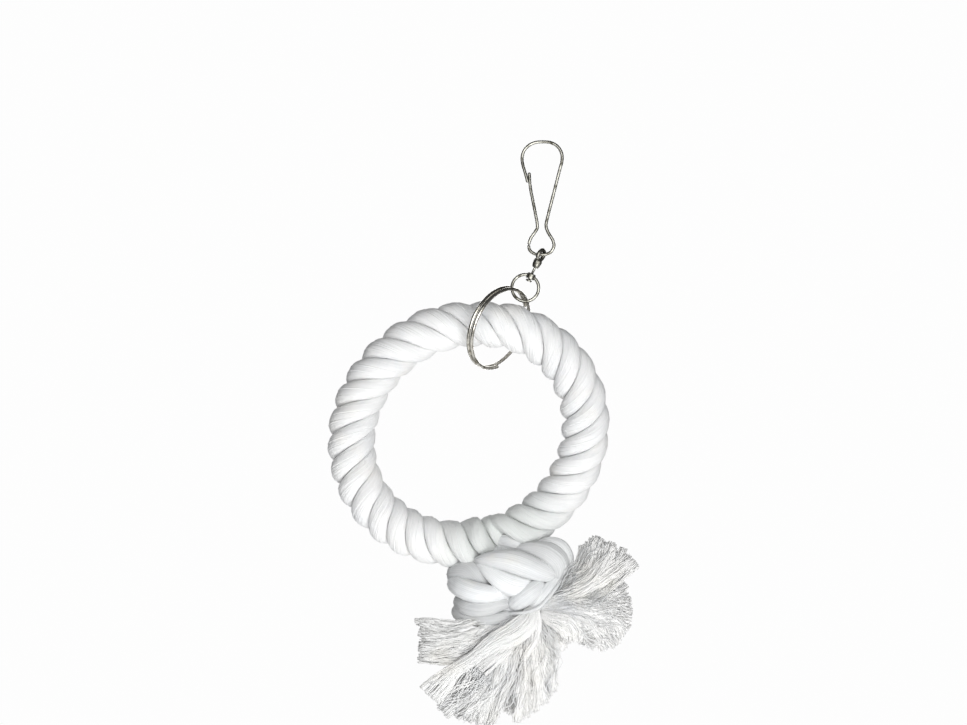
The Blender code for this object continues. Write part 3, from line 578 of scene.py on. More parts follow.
def lobe(rows, yarns=22, ridge=0.08, sides=88, step=0.7, dome=0.10):
    """A fat strand through the knot. Each row is a pixel, a depth, a half width and a half thickness."""
    run = flow(spots(rows), step=step)
    line, wide, thick = run[:, :3], run[:, 3], run[:, 4]
    ahead = unit(np.gradient(line, axis=0))
    face = line - KNOT_HEART
    face = unit(face - ahead * np.sum(face * ahead, axis=1, keepdims=True))
    share = np.linspace(0, 1, len(line))
    tip = domed(np.minimum(share, 1 - share) / dome)
    around = round_angles(sides)
    along = (np.arange(len(line)) * step)[:, None]
    wave = sum(np.cos((yarns + more) * around + STRAND_TWIST * pace * TAU * along)
               for more, pace in YARN_WAVES)
    wave = ridge * wave * (1 - UNEVEN_SHARE + UNEVEN_SHARE * np.sin(along * UNEVEN_PACE))
    swollen = 1 + wave / wide[:, None]
    sideways = (wide * tip)[:, None] * np.cos(around) * swollen
    upwards = (thick * tip)[:, None] * np.sin(around) * swollen
    return rings_about(line, np.cross(ahead, face), face, sideways, upwards)


KNOT_STRANDS = {
    # Strands that sweep to the right over the knot.
    "knot_sweep_0": (
        (536, 545, -4, 1.4, 1.4), (549, 541.5, -7.5, 2.2, 2.4), (560, 545.5, -8.5, 2.9, 3.0),
        (565.6, 554.5, -8, 3.0, 3.0), (565.8, 565, -6.6, 2.8, 2.8), (560.5, 574.5, -4.5, 2.2, 2.2)),
    "knot_sweep_1": (
        (510, 551, -4, 1.4, 1.6), (520, 548.5, -7.5, 1.9, 2.3), (530, 547.6, -9.3, 2.7, 3.1),
        (540, 548.8, -10.5, 3.8, 3.9), (549.5, 552, -11.2, 4.8, 4.5), (556.5, 558, -10.8, 4.8, 4.6),
        (559.3, 565.5, -9.6, 4.2, 4.2), (557.5, 573, -7.4, 3.4, 3.4), (552, 580, -4, 2.4, 2.4)),
    "knot_sweep_2": (
        (476, 560, -5, 1.3, 1.5), (480, 559.5, -9.5, 1.9, 2.3), (487, 558, -12, 2.9, 3.2),
        (498, 557.8, -13.6, 4.0, 4.2), (511, 559, -14.2, 4.9, 4.7), (524, 562.8, -14, 5.2, 4.8),
        (536, 567.8, -12.8, 4.8, 4.5), (546, 571.5, -10.4, 3.9, 3.8), (552, 575, -6, 2.6, 2.8)),
    "knot_sweep_3": (
        (476, 560.5, -5, 1.3, 1.5), (481, 564, -9, 1.8, 2.1), (487, 569, -11.4, 2.7, 3.0),
        (495, 574.5, -12.8, 3.7, 3.9), (505, 580.5, -13.4, 4.5, 4.4), (514, 583.5, -13, 4.6, 4.3),
        (523, 583.5, -11.4, 3.8, 3.6), (531, 581, -8, 2.4, 2.6)),
    # Strands stacked at the left, which go on round the back.
    "knot_wrap_1": (
        (494, 588, -4, 1.7, 1.8), (487, 582.5, -6.6, 3.1, 3.0), (479, 576.5, -7.4, 4.7, 4.1),
        (470, 572.5, -6.8, 5.4, 4.4), (462, 572.5, -5, 5.0, 4.3), (457, 573.5, -2.2, 4.6, 4.1),
        (456, 574.5, 1.5, 4.3, 4.0), (460, 575.5, 7.5, 4.2, 4.1), (472, 573, 11.6, 4.1, 4.2),
        (492, 567, 13.4, 4.1, 4.3), (514, 561.5, 12.8, 4.1, 4.3), (536, 558.5, 10.4, 4.1, 4.1),
        (553, 558, 5.6, 4.2, 3.8), (561, 560.5, -0.5, 4.2, 3.6), (561, 564, -6.5, 3.4, 3.0)),
    "knot_wrap_2": (
        (510, 597, -6.5, 1.4, 1.6), (503.5, 593.5, -10, 2.2, 2.5), (496, 592.3, -12, 3.1, 3.4),
        (486.5, 591.5, -13.4, 3.9, 4.1), (475, 590, -13.2, 4.4, 4.3), (464.5, 587, -10.6, 4.5, 4.3),
        (458.5, 584, -5.6, 4.4, 4.3), (457, 583.5, 0.5, 4.4, 4.2), (462, 586.5, 8, 4.3, 4.3),
        (476, 588, 13.4, 4.1, 4.4), (498, 585, 15.2, 4.1, 4.5), (520, 579.5, 14.4, 4.1, 4.5),
        (540, 574.5, 11, 4.1, 4.2), (554, 571, 5, 4.2, 3.8), (561, 570.5, -1, 4.1, 3.6),
        (558, 571, -6.5, 3.2, 3.0)),
    "knot_wrap_3": (
        (513, 606, -6, 1.4, 1.5), (507, 602.5, -9.4, 2.1, 2.3), (499, 602.3, -11.2, 2.8, 3.1),
        (489, 605.5, -12.2, 3.3, 3.5), (479, 606.8, -11.8, 3.5, 3.6), (469, 605.8, -9.2, 3.6, 3.6),
        (463.5, 603.5, -4.5, 3.7, 3.6), (462, 602.5, 1, 3.9, 3.7), (466, 603.5, 7, 3.9, 3.9),
        (480, 604, 12, 3.7, 4.1), (500, 601.5, 13.6, 3.7, 4.1), (520, 596, 12.6, 3.7, 4.1),
        (539, 590, 9, 3.7, 3.8), (550, 586.5, 3, 3.8, 3.3), (552, 584.5, -4, 3.2, 2.8)),
    "knot_wrap_4": (
        (520, 613, -6, 1.4, 1.5), (511, 613.5, -8.4, 2.2, 2.2), (500, 616, -9.6, 2.8, 2.8),
        (489, 617.5, -9.4, 3.3, 3.2), (476, 617, -7.4, 3.6, 3.4), (464.5, 614.5, -4, 3.7, 3.4),
        (459.5, 612.5, 1, 3.7, 3.4), (465, 612.5, 6, 3.8, 3.5), (480, 616, 9.5, 3.5, 3.7),
        (500, 615, 10.5, 3.5, 3.7), (518, 610, 9.5, 3.4, 3.6), (533, 603, 5, 3.5, 3.3),
        (541, 597, 0, 3.4, 3.0), (543, 595, -5, 2.6, 2.6)),
    # Strands behind and before the rope ends.
    "knot_back_strand": (
        (553, 556, 5, 2.4, 2.4), (543, 549, 10.5, 4.2, 3.6), (529, 543.5, 13.6, 5.3, 4.0),
        (513, 544, 14.8, 5.4, 4.0), (500, 550.5, 13.4, 4.6, 3.6), (492, 558, 9.2, 3.4, 3.0),
        (486, 565, 4, 2.2, 2.2)),
    "knot_fill_strand": (
        (494, 541, -1, 1.8, 2.0), (504, 541, -4.4, 3.2, 3.2), (514, 542.5, -5.4, 3.6, 3.4),
        (525, 546, -4.4, 2.6, 2.6)),
    # Tails that come out below, and the thin yarn that binds them.
    "knot_tail": (
        (541.5, 581.5, -8, 2.6, 2.4), (536.5, 586, -11.2, 3.7, 3.2), (530.5, 590.5, -12.8, 4.2, 3.6),
        (523.5, 595.5, -13, 4.2, 3.7), (517, 600.5, -11.6, 3.6, 3.3), (511, 605, -8.5, 2.4, 2.4)),
    "knot_tail_2": (
        (528, 611, -8, 1.8, 2.0), (534.5, 604, -10.6, 2.6, 2.6), (541, 596, -11.4, 3.0, 2.9),
        (547.5, 588, -10.6, 3.0, 2.9), (554, 580, -8.2, 2.6, 2.6), (561, 572, -5, 1.8, 2.0)),
    "knot_binding": (
        (504, 612, -8, 0.6, 0.6), (515, 611.5, -12.4, 0.9, 0.8), (527, 609.5, -14.2, 0.9, 0.8),
        (539, 604.5, -14.4, 0.9, 0.8), (548.5, 594.5, -13.8, 0.9, 0.8), (556.5, 584.5, -11.8, 0.8, 0.8),
        (563.5, 575, -7, 0.6, 0.6)),
    # The rope ends inside.
    "knot_heart": (
        (502, 546, 2, 8, 8), (506, 560, 0, 11.5, 9), (510, 575, 0, 14.5, 9.8), (512, 588, 0, 15, 9.8),
        (516, 600, -1, 13, 8.6), (522, 612, -3, 8, 6.5), (528, 621, -6, 4, 3.5)),
}
KNOT_SETTINGS = {
    "knot_tail": dict(step=0.4, dome=0.16),
    "knot_tail_2": dict(step=0.4, dome=0.16),
    "knot_binding": dict(sides=20, yarns=9, ridge=0.02),
    "knot_heart": dict(step=1.2, ridge=0.3),
}
# Strands that get painted light (a lighter copy of the knot's cotton) or painted shade (darker copies).
KNOT_LIT_AND_SHADED = {
    "knot_sweep_1": knot_painted_shade, "knot_sweep_3": knot_painted_lit, "knot_wrap_1": knot_painted_deep_shade,
    "knot_wrap_2": knot_painted_lit, "knot_wrap_3": knot_painted_shade, "knot_wrap_4": knot_painted_deep_shade,
}
KNOT_NODES = {
    "knot_sweep_1": ["rope_end_left"], "knot_heart": ["rope_end_right"], "knot_wrap_1": ["knot_turn_1"],
    "knot_wrap_2": ["knot_turn_2"], "knot_wrap_3": ["knot_turn_3"],
}

for name, rows in KNOT_STRANDS.items():
    strand = lobe(rows, **KNOT_SETTINGS.get(name, {}))
    piece(name, [strand], KNOT_LIT_AND_SHADED.get(name, knot_cotton), "rope_ring", KNOT_NODES.get(name, ()))


# Frayed ends

YARN_SIDES = 5
CRIMP_WAVES = ((1, 5, 10), (2, 12, 22))   # size in crimps, and its shortest and longest wave
YARN_SIZES = (0.75, 1.25)                 # a yarn's radius against the usual one
TUFT_STEPS, TUFT_YARN, TUFT_RAGGED = 24, 0.25, 0.14
TUFT_FAN = 1.7                            # a lock's width at its tip, against its share of the tips
LOCK_ROOT = 0.8                           # half width and half thickness of a lock at its root
LOCK_SWELL = 1.3                          # how much thicker it gets
LOCK_PLACES = (0.2, 0.8)                  # where a lock lies in its own share of the tuft
LOCK_LENGTH, LOCK_SHORTER = 1.03, 0.4     # the longest lock, and how much of the raggedness a lock has
LOCK_BOW, LOCK_OPEN = 0.04, 0.85          # how much it bends, and the share of its length that it opens over
LOCK_ARCH, LOCK_BELLY = (0.10, 0.72), (0.05, 0.7)   # parts of an arch, for its depth and its thickness
LOCK_WAVES = (16, 26)
LOCK_MIDDLE_WIDE, LOCK_MIDDLE_THICK = 0.85, 0.6   # the matted middle against the lock
STRAY_WAVES, STRAY_SWAY, STRAY_SIZES, STRAY_LENGTHS = (9, 22), (0.5, 1.7), (0.6, 1.0), (0.7, 1.02)
STRAY_DRIFT, STRAY_BOW, STRAY_DEPTHS = 0.06, 0.11, (0.4, 1.0)
STRAY_LIFT = 1.2                          # how far the strays lie before the locks
MATTED_RIDGES = ((0.06, 9, 5), (0.04, 17, -4))   # height, lines round and twist
MATTED_END, MATTED_TIP = 6, 0.01          # how late a matted middle closes, and how blunt it is


def along_line(points, share):
    """The place at a share of the way along a bent line."""
    p = np.asarray(points, float)
    run = run_along(p)
    return np.array([np.interp(share * run[-1], run, p[:, k]) for k in range(3)])


def partway(path, keep):
    """The first share of a line, with as many places."""
    t = np.linspace(0, 1, len(path))
    return np.column_stack([np.interp(t * keep, t, path[:, k]) for k in range(path.shape[1])])


def bow(t):
    """Nothing at both ends of a line, and one at its middle."""
    return 4 * t * (1 - t)


def arched(t, start, share):
    """Part of an arch, over a share of its half turn."""
    return np.sin(np.pi * np.clip(start + share * t, 0, 1))


def sway(t, length, waves, draw, root=3):
    """A wave along a line, of a length drawn between two, that comes in from the root."""
    return np.sin(TAU * length / draw.uniform(*waves) * t + draw.uniform(0, TAU)) * np.minimum(1, root * t)


def one_yarn(line, size):
    """A thin round yarn along a line, as closed rings."""
    way = unit(np.gradient(line, axis=0))
    across = unit(np.cross(way, TO_BACK))
    around = round_angles(YARN_SIDES)[None, :]
    return rings_about(line, across, np.cross(way, across), size * np.cos(around), size * np.sin(around))


def yarn_lock(path, wide, thick, yarns, draw, crimp, radius, ragged, inside=0.3):
    """Yarns that run together along a path, spread over its width and thickness, each with its own crimp and
    length."""
    t = np.linspace(0, 1, len(path))[:, None]
    sideways = unit(np.cross(unit(np.gradient(path, axis=0)), TO_BACK))
    length = run_along(path)[-1]
    skins = []
    for angle, far in zip(draw.uniform(0, TAU, yarns), np.sqrt(draw.uniform(inside, 1, yarns))):
        line = path + sideways * wide * far * math.cos(angle) + TO_BACK * thick * far * math.sin(angle)
        for direction in (sideways, TO_BACK):
            for size, *waves in CRIMP_WAVES:
                line = line + direction * size * crimp * sway(t, length, waves, draw)
        line = partway(line, 1 - ragged * draw.random() ** 2)
        skins.append(one_yarn(line, radius * draw.uniform(*YARN_SIZES)))
    return skins


def matted_lock(path, wide, thick, keep=0.86, sides=36):
    """The matted middle of a lock, which its loose yarns lie on."""
    run = partway(np.column_stack([path, wide, thick]), keep)
    line, wide, thick = run[:, :3], run[:, 3:4], run[:, 4:5]
    t = np.linspace(0, 1, len(run))[:, None]
    sideways = unit(np.cross(unit(np.gradient(line, axis=0)), TO_BACK))
    around = round_angles(sides)[None, :]
    relief = 1 + sum(height * np.cos(ridges * around + twist * t) for height, ridges, twist in MATTED_RIDGES)
    relief = relief * np.sqrt(np.clip(1 - t**MATTED_END, MATTED_TIP, 1))
    return rings_about(line, sideways, TO_BACK[None], wide * np.cos(around) * relief,
                       thick * np.sin(around) * relief)


def frayed_locks(lines, locks, yarns, seed, depth, strays, wave=0.5, crimp=0.22):
    """Locks of loose yarns that run from a root line through a waist line to a line of tips. Each lock bends
    as one and opens towards its tip. Single yarns stray over them. Returns the locks' yarns, and the matted
    middles with the strays."""
    draw = np.random.default_rng(seed)
    lines = [spots(rows) for rows in lines]
    t = np.linspace(0, 1, TUFT_STEPS)[:, None]
    arch = arched(t, *LOCK_ARCH)

    def route(share, drift, longer):
        """One line through the tuft, with the way across it and its length."""
        stops = [along_line(line, np.clip(share + drift * k, 0, 1)) for k, line in enumerate(lines)]
        path = flow(np.array(stops), count=TUFT_STEPS)
        path = path[0] + (path - path[0]) * longer
        chord = path[-1] - path[0]
        return path, unit(np.cross(chord, TO_BACK)), np.linalg.norm(chord)

    spread = run_along(lines[-1])[-1] / locks * TUFT_FAN
    wide = LOCK_ROOT + (spread / 2 - LOCK_ROOT) * ease(t / LOCK_OPEN)
    thick = LOCK_ROOT + LOCK_SWELL * arched(t, *LOCK_BELLY)
    skins, middles = [], []
    for share in (np.arange(locks) + draw.uniform(*LOCK_PLACES, locks)) / locks:
        path, sideways, length = route(share, 0, LOCK_LENGTH - LOCK_SHORTER * TUFT_RAGGED * draw.random())
        path = path + sideways * draw.normal(0, LOCK_BOW) * length * bow(t)
        path = path + TO_BACK * draw.uniform(-1, 1) * depth * arch
        for direction in (sideways, TO_BACK):
            path = path + direction * wave * sway(t, length, LOCK_WAVES, draw, root=2.5)
        skins += yarn_lock(path, wide, thick, yarns, draw, crimp, TUFT_YARN, TUFT_RAGGED)
        middles.append(matted_lock(path, LOCK_MIDDLE_WIDE * wide, LOCK_MIDDLE_THICK * thick))
    for share in draw.random(strays):
        path, sideways, length = route(share, draw.normal(0, STRAY_DRIFT), draw.uniform(*STRAY_LENGTHS))
        path = path + sideways * length * draw.normal(0, STRAY_BOW) * bow(t)
        path = path - TO_BACK * (depth * draw.uniform(*STRAY_DEPTHS) + STRAY_LIFT) * arch
        for direction in (sideways, TO_BACK):
            path = path + direction * draw.uniform(*STRAY_SWAY) * sway(t, length, STRAY_WAVES, draw)
        middles.append(one_yarn(path, TUFT_YARN * draw.uniform(*STRAY_SIZES)))
    return skins, middles


# Name: body, CAD node, cotton, (root line, waist line, tip line), locks, yarns in a lock, settings.
TUFTS = {
    "frayed_right_1": (
        "right_tassel", ["tuft_right_1"], yarn_painted_shade,
        (((546, 608, -8), (562, 578, -6)),
         ((590, 595, -13), (588, 576, -13), (576, 562, -10)),
         ((636, 563, -12), (622, 548, -11), (606, 538, -10), (597, 534.5, -9), (588, 540, -8),
          (583, 546, -7))),
        13, 40, dict(seed=11, depth=2.2, wave=0.25, crimp=0.13, strays=40)),
    "frayed_right_2": (
        "right_tassel", ["tuft_right_2"], yarn_cotton,
        (((537, 613, -9), (541, 600, -9)),
         ((572, 621, -11), (588, 617, -12), (594, 605, -12), (588, 595, -10)),
         ((580, 641, -6), (588, 645, -6), (603, 649, -6), (616, 643, -6), (627, 627, -6),
          (631.5, 612, -6), (630, 597, -5), (624, 581, -5))),
        19, 38, dict(seed=12, depth=2.6, crimp=0.26, strays=170)),
    "frayed_right_3": (
        "right_tassel", ["tuft_right_3"], yarn_cotton,
        (((531, 617, -5), (540, 613, -5)),
         ((543, 637, -6), (556, 628, -6)),
         ((551, 659, -6), (557, 656, -6), (564, 648, -6), (569, 640, -6))),
        7, 26, dict(seed=13, depth=1.6, strays=16)),
    "frayed_left_3": (
        "left_tassel", ["tuft_left_3"], yarn_cotton,
        (((527, 611, -10), (535, 611, -9)),
         ((524, 667, -11), (535, 663, -12), (547, 655, -11)),
         ((513, 721, -8), (527, 715, -8), (541, 704, -8), (553, 691, -8), (555, 678, -8))),
        14, 38, dict(seed=14, depth=2.0, strays=90)),
    "frayed_left_2": (
        "left_tassel", ["tuft_left_2"], yarn_soft,
        (((508, 614, -9), (526, 614, -10)),
         ((479, 677, -11), (487, 682, -12), (498, 678, -12), (509, 663, -12)),
         ((437, 703, -9), (446, 711, -9), (463, 717, -9), (485, 724, -9), (497, 715, -9))),
        17, 40, dict(seed=15, depth=2.4, strays=130)),
    "frayed_left_1": (
        "left_tassel", ["tuft_left_1"], yarn_soft,
        (((499, 610, -8), (509, 624, -9)),
         ((453, 622.5, -10), (457, 638, -11), (461, 651, -10)),
         ((416, 618, -7), (420, 630, -7), (421, 641, -7), (417, 661, -7))),
        12, 34, dict(seed=16, depth=2.0, strays=8)),
    # Seen in the hollow beside the loose strand, in painted shade.
    "frayed_deep_left": (
        "left_tassel", [], yarn_painted_shade,
        (((506, 618, -5), (514, 622, -5)),
         ((474, 655, -5), (488, 664, -5)),
         ((440, 682, -6), (448, 694, -6), (462, 704, -6))),
        6, 26, dict(seed=17, depth=1.0, strays=6)),
    # Seen in the parting of the two bottom tufts, in painted shade.
    "frayed_deep_middle": (
        "left_tassel", [], yarn_painted_shade,
        (((521, 636, -6), (528, 636, -6)),
         ((512, 676, -4), (521, 676, -4)),
         ((501, 706, -4), (508, 712, -4), (516, 711, -4))),
        4, 24, dict(seed=18, depth=0.8, strays=4)),
}


def bend_from_knot(made):
    """Bakes the piece's placement into its mesh; the piece is left on no body."""
    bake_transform(made)


for name, (body, nodes, tone, lines, locks, count, settings) in TUFTS.items():
    yarns, middles = frayed_locks(lines, locks, count, **settings)
    # Tufts with painted shade get matted middles in the knot's painted-shade cotton.
    middle_tone = knot_painted_shade if tone is yarn_painted_shade else strand_cotton
    bend_from_knot(piece(name, yarns, tone, None, nodes))
    bend_from_knot(piece(name + "_matted", middles, middle_tone, None))

HALF_OPENED_STEPS = 44
FEW_YARNS = 10             # so few yarns have no matted middle
HALF_OPENED_WIDE, HALF_OPENED_THICK = 0.93, 0.86   # the matted middle against the strand
# Strands that are only half opened lie over the tufts. Name: body, cotton, rows, yarns, crimp, yarn radius,
# raggedness. A row is a pixel, a depth, a half width and a half thickness.
HALF_OPENED = {
    "loose_strand": (
        "left_tassel", yarn_soft,
        ((532, 605, -10, 2.6, 2.2), (528, 618, -13.6, 4.6, 2.8), (514.5, 629.5, -15.2, 5.0, 2.8),
         (496, 639, -15.4, 4.2, 2.5), (474, 655, -14.6, 2.9, 2.0), (456, 667, -13.4, 3.0, 1.7),
         (443.5, 679, -12, 4.6, 1.5), (430, 694, -10.6, 6.4, 1.2)),
        170, 0.12, 0.26, 0.12),
    "short_bundle": (
        "left_tassel", yarn_painted_shade,
        ((517, 634, -12, 1.8, 1.6), (506, 645, -14.6, 2.8, 2.0), (494, 655, -15.6, 3.2, 2.0),
         (480.5, 667, -15.6, 3.4, 1.9)),
        100, 0.08, 0.27, 0.06),
    "crossing_yarns_1": (
        "left_tassel", yarn_cotton,
        ((446, 691, -11.5, 0.5, 0.3), (457, 685, -14, 0.6, 0.3), (468, 680.5, -14.4, 0.6, 0.3),
         (481, 676, -13.6, 0.4, 0.3)),
        4, 0.15, 0.25, 0.2),
    "crossing_yarns_2": (
        "left_tassel", yarn_cotton,
        ((466, 660, -14, 0.4, 0.3), (468.5, 670, -14.8, 0.7, 0.3), (466, 680, -14.4, 0.8, 0.3),
         (457, 691, -12.6, 0.6, 0.3)),
        4, 0.15, 0.25, 0.2),
    "thin_cords": (
        "left_tassel", yarn_cotton,
        ((537, 607, -12, 0.6, 0.6), (538.5, 622, -14.2, 0.9, 0.8), (534, 639, -14.8, 1.0, 0.8),
         (525, 653, -14.2, 1.0, 0.7), (519, 664, -12.6, 1.0, 0.6)),
        24, 0.08, 0.26, 0.2),
    "curled_lock": (
        "right_tassel", yarn_cotton,
        ((540, 612, -10, 1.6, 1.6), (549, 615, -13, 2.8, 2.2), (559, 619, -15, 3.7, 2.6),
         (567.5, 624, -15.4, 4.1, 2.6), (571.5, 631.5, -14, 4.0, 2.2), (572.5, 640, -11.5, 3.6, 1.6)),
        150, 0.22, 0.26, 0.2),
}

for name, (body, tone, rows, yarns, crimp, radius, ragged) in HALF_OPENED.items():
    run = flow(spots(rows), count=HALF_OPENED_STEPS)
    line, wide, thick = run[:, :3], run[:, 3:4], run[:, 4:5]
    draw = np.random.default_rng(len(name))
    skins = yarn_lock(line, wide, thick, yarns, draw, crimp, radius, ragged, inside=0.7)
    bend_from_knot(piece(name, skins, tone, None))
    if yarns > FEW_YARNS:
        middle = matted_lock(line, HALF_OPENED_WIDE * wide, HALF_OPENED_THICK * thick, keep=0.9, sides=80)
        bend_from_knot(piece(name + "_matted", [middle], knot_cotton, None))


# Hook, swivel and rings

WIRE_SIDES, RING_STEPS = 20, 96


def wire(points, radius, step=0.25, dome=1.0):
    """Round wire along a route, with domed ends."""
    line = flow(points, step=step)
    across, other = steady_sides(line)
    run = run_along(line)
    near = np.minimum(run, run[-1] - run) / (radius * dome)
    thick = (radius * domed(near))[:, None]
    around = round_angles(WIRE_SIDES)
    return rings_about(line, across, other, thick * np.cos(around), thick * np.sin(around))


def turned(profile, origin, axis, sides=40):
    """A turned piece: (distance along the axis, radius) pairs, as closed rings."""
    across = unit(np.cross(axis, TO_BACK))
    around = round_angles(sides)[:, None]
    section = across * np.cos(around) + np.cross(axis, across) * np.sin(around)
    return np.array([np.asarray(origin) + axis * far + section * radius for far, radius in profile])


def round_ring(centre, first, second, major, minor):
    """A closed ring of round wire, its seam butted."""
    turn = np.linspace(0, TAU, RING_STEPS + 1)
    out = np.outer(np.cos(turn), first) + np.outer(np.sin(turn), second)
    normal = unit(np.cross(first, second))
    around = round_angles(WIRE_SIDES)[None, :]
    return rings_about(np.asarray(centre)[None], out, normal[None], major + minor * np.cos(around),
                       minor * np.sin(around))


WIRE_RADIUS, BOW_TOP_Z = 0.7, 0.7
LATCH_OFFSET = 1.0         # the nose and the arm pass each other this far before and behind the hook's middle
# A row is a place across, the share of the latch offset and a height from the bow's top.
HOOK_ROUTE = (
    (-6.6, -1, -17.6), (-7.4, -0.9, -14.3), (-8.6, -0.4, -10.1), (-9, 0, -7.3), (-8.3, 0, -4.1),
    (-6.3, 0, -1.7), (-3.4, 0, -0.3), (0, 0, 0), (3.6, 0, -0.4), (6.4, 0, -2.1), (8, 0, -4.9),
    (8.2, 0, -7.9), (7.2, 0, -11.9), (4.3, 0, -23.3), (1.9, 0, -32.7), (1.3, 0, -36.1), (2.3, 0, -39.1),
    (4.2, 0, -42.3), (4.7, 0, -44.7), (3.6, 0, -47.1), (1.4, 0, -48.3), (-0.9, 0, -48.5),
    (-3.4, 0, -48.2), (-5.6, 0, -46.7), (-6.2, 0, -44.3), (-5.2, 0, -41.3), (-3.3, 0, -38.6),
    (-2.5, 0, -37.1))
GATE_ROUTE = (
    (-2.4, 0, -35.9), (-2.6, 0, -34.3), (-3.4, 0.1, -30.1), (-4.5, 0.5, -24.5), (-5.5, 0.9, -19),
    (-5.9, 1, -13))
SPLIT_AT = 25              # the hook's wire is one piece up to here, and the springy arm is the next


def hook_places(route):
    return np.array([(x, share * LATCH_OFFSET, z + BOW_TOP_Z) for x, share, z in route])


fixed_wire = wire(hook_places(HOOK_ROUTE[:SPLIT_AT]), WIRE_RADIUS)
piece("hook_wire", [fixed_wire], wire_nickel, "hook", ["snap_hook"])
arm_wire = wire(hook_places(HOOK_ROUTE[SPLIT_AT - 1:] + GATE_ROUTE), WIRE_RADIUS)
spring_arm = piece("hook_spring_arm", [arm_wire], wire_nickel, None, ["gate_arm"])
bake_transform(spring_arm)

EYE_CENTRE = np.array((-0.9, 0.0, -48.0))
SWIVEL_TILT = 25.5
SWIVEL_DOWN = np.array((-math.sin(math.radians(SWIVEL_TILT)), 0.0, -math.cos(math.radians(SWIVEL_TILT))))
EYE_MAJOR, EYE_MINOR = 2.3, 0.9
# The eye is turned a little, so it shows its opening.
EYE_SIDE = unit(0.87 * TO_BACK + 0.5 * np.cross(SWIVEL_DOWN, TO_BACK))
# Turned pieces: pairs of the distance from the eye's centre and a radius.
BARREL = (
    (1.9, 0.4), (2.0, 1.4), (2.2, 1.75), (2.8, 1.9), (3.2, 1.95), (4.2, 1.82), (5.2, 1.62), (5.8, 1.47),
    (5.98, 1.3), (6.0, 0.7))
POST = (
    (3.9, 0.3), (3.95, 0.55), (6.4, 0.55), (11.65, 0.55), (11.7, 1.2), (11.8, 1.32), (12.3, 1.35),
    (12.5, 1.2), (12.6, 0.8), (12.6, 0.2))
BOSS = (
    (8.8, 0.92), (8.8, 1.7), (8.95, 1.9), (9.2, 1.95), (10.9, 1.95), (11.25, 1.9), (11.4, 1.7),
    (11.4, 0.92), (8.8, 0.92))
POST_SIDES = 28
SMALL_RING_CENTRE = np.array((-7.616, 0.0, -62.08))
SMALL_RING_MAJOR, SMALL_RING_MINOR = 5.75, 0.7

eye = round_ring(EYE_CENTRE, SWIVEL_DOWN, EYE_SIDE, EYE_MAJOR, EYE_MINOR)
barrel = turned(BARREL, EYE_CENTRE, SWIVEL_DOWN)
piece("swivel_eye_barrel", [eye, barrel], wire_nickel, "swivel", ["swivel_eye"])
post = turned(POST, EYE_CENTRE, SWIVEL_DOWN, POST_SIDES)
piece("swivel_post", [post], wire_nickel, "swivel", ["swivel_pin"])
small_ring = round_ring(SMALL_RING_CENTRE, (1.0, 0, 0), (0, 0, 1.0), SMALL_RING_MAJOR, SMALL_RING_MINOR)
boss = turned(BOSS, EYE_CENTRE, SWIVEL_DOWN)
piece("swivel_small_ring", [small_ring, boss], wire_nickel, "small_ring", ["swivel_ring"])

SPLIT_CENTRE = np.array((-19.075, -2.452, -79.309))
SPLIT_MAJOR_DIR, SPLIT_MINOR_DIR = np.array((0.418, 0.0, 0.908)), np.array((-0.5425, -0.802, 0.2497))
SPLIT_RADIUS, SPLIT_WIRE, SPLIT_PITCH = 18.0, 0.75, 2.0
SPLIT_CROSS_DEG, SPLIT_END_GAP, SPLIT_CROSS_HALF = -95.0, 52.0, 26.0
SPLIT_TURNS, SPLIT_PLACES = 2, 260


def split_ring_route():
    """Two turns of wire that change places over a short way."""
    start = SPLIT_CROSS_DEG + SPLIT_END_GAP
    end = SPLIT_CROSS_DEG - SPLIT_END_GAP + 360 * SPLIT_TURNS
    degrees = np.linspace(start, end, SPLIT_PLACES)
    crossed = ease(0.5 + 0.5 * (degrees - SPLIT_CROSS_DEG - 360) / SPLIT_CROSS_HALF)
    turn = np.radians(degrees)
    normal = unit(np.cross(SPLIT_MAJOR_DIR, SPLIT_MINOR_DIR))
    out = np.outer(np.cos(turn), SPLIT_MAJOR_DIR) + np.outer(np.sin(turn), SPLIT_MINOR_DIR)
    return SPLIT_CENTRE + SPLIT_RADIUS * out + np.outer(SPLIT_PITCH * (crossed - 0.5), normal)


split_wire = wire(split_ring_route(), SPLIT_WIRE, step=0.4, dome=0.5)
piece("split_ring_wire", [split_wire], nickel_plate, "split_ring", ["split_ring"])


# Floor, light and camera

FLOOR_RADIUS, FLOOR_TOP, FLOOR_THICK, FLOOR_X, FLOOR_SIDES = 1300, -900, 8.0, -25, 96
FLOOR_CLOUDS = 2.0
FLOOR_RINGS = ((0.4, 0), (0.8, 0), (1, 0), (1, 1), (0.5, 1))   # shares of the radius and of the thickness


def round_floor():
    """A pale round floor well below the swing."""
    around = round_angles(FLOOR_SIDES)
    rings = np.array([
        np.column_stack([FLOOR_RADIUS * out * np.cos(around) + FLOOR_X, FLOOR_RADIUS * out * np.sin(around),
                         np.full(FLOOR_SIDES, FLOOR_TOP - FLOOR_THICK * down)])
        for out, down in FLOOR_RINGS])
    paper, tree, shader = new_material("floor_paper", Roughness=0.85)
    tone = place_group(tree, tone_group, Clean=(0.86, 0.86, 0.86, 1), Cool=(0.84, 0.845, 0.85, 1),
                       Warm=(0.86, 0.855, 0.845, 1), Clouds_to_a_metre=FLOOR_CLOUDS)
    tree.links.new(tone.outputs[0], shader.inputs["Base Color"])
    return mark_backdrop(piece("floor", [rings], paper))


round_floor()

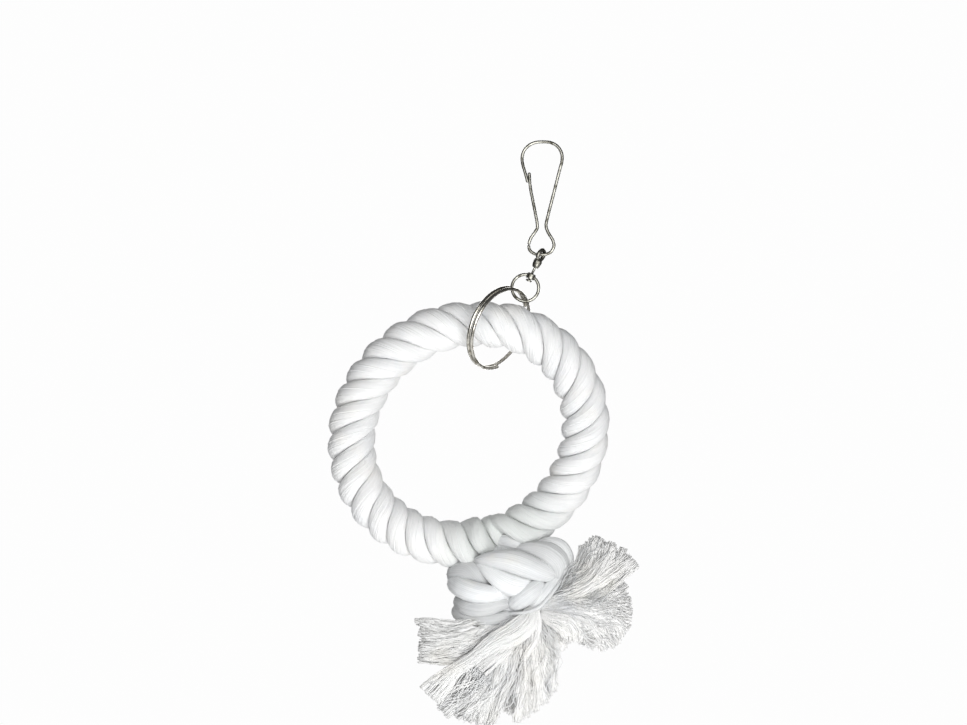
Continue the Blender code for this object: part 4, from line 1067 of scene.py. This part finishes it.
# Name: place, aim, size and power.
LIGHTS = {
    "key_softbox": ((320, -1080, -330), (-20, 0, -130), 900, 11.5),
    "fill_softbox": ((-300, -1080, 200), (-20, 0, -120), 900, 4.7),
    "back_softbox": ((40, 1050, 60), (-20, 0, -120), 1000, 13.0),
    "floor_wash": ((-20, 0, -420), (-20, 0, -900), 2600, 9.0),
}
for name, (place, aim, size, power) in LIGHTS.items():
    light = bpy.data.lights.new(name, "AREA")
    light.shape = "DISK"
    light.size = size * MM
    light.energy = power
    lamp = bpy.data.objects.new(name, light)
    bpy.context.scene.collection.objects.link(lamp)
    lamp.visible_camera = False
    lamp.location = Vector(place) * MM
    lamp.rotation_euler = (Vector(aim) - Vector(place)).to_track_quat("-Z", "Y").to_euler()

ROOM_COLOUR, BACKDROP_COLOUR = (0.97, 0.98, 1.0, 1), (0.985, 0.985, 0.985, 1)
ROOM_EDGES, ROOM_LOW, ROOM_HIGH = (-0.7, 0.7), 0.20, 0.07   # the room is lighter below than above


def make_room():
    """A dim room for reflections and fill, behind an even white backdrop."""
    world = bpy.data.worlds.new("studio")
    bpy.context.scene.world = world
    world.use_nodes = True
    sky = world.node_tree
    sky.nodes.clear()
    way = node(sky, "ShaderNodeTexCoord").outputs["Generated"]
    height = node(sky, "ShaderNodeSeparateXYZ", {0: way}).outputs[2]
    glow = node(sky, "ShaderNodeMapRange",
                {0: height, 1: ROOM_EDGES[0], 2: ROOM_EDGES[1], 3: ROOM_LOW, 4: ROOM_HIGH}).outputs[0]
    room = node(sky, "ShaderNodeBackground", {0: ROOM_COLOUR, 1: glow}).outputs[0]
    backdrop = node(sky, "ShaderNodeBackground", {0: BACKDROP_COLOUR, 1: 1.0}).outputs[0]
    seen = node(sky, "ShaderNodeLightPath").outputs["Is Camera Ray"]
    which = node(sky, "ShaderNodeMixShader", {0: seen, 1: room, 2: backdrop})
    sky.links.new(which.outputs[0], node(sky, "ShaderNodeOutputWorld").inputs[0])


make_room()

CAMERA_DISTANCE, SENSOR_WIDTH = 1400.0, 36.0
CAMERA_PLACE = spot(PHOTO_SIZE[0] / 2, PHOTO_SIZE[1] / 2, -CAMERA_DISTANCE)
CLIP_NEAR, CLIP_FAR = 50.0, 20000.0
camera = bpy.data.objects.new("camera", bpy.data.cameras.new("camera"))
bpy.context.scene.collection.objects.link(camera)
camera.location = Vector(CAMERA_PLACE) * MM
camera.rotation_euler = (math.pi / 2, 0, 0)
camera.data.sensor_width = SENSOR_WIDTH
camera.data.lens = SENSOR_WIDTH * CAMERA_DISTANCE / (PHOTO_SIZE[0] * PHOTO_MM)
camera.data.clip_start = CLIP_NEAR * MM
camera.data.clip_end = CLIP_FAR * MM
bpy.context.scene.camera = camera
bpy.context.scene.view_settings.view_transform = "Standard"
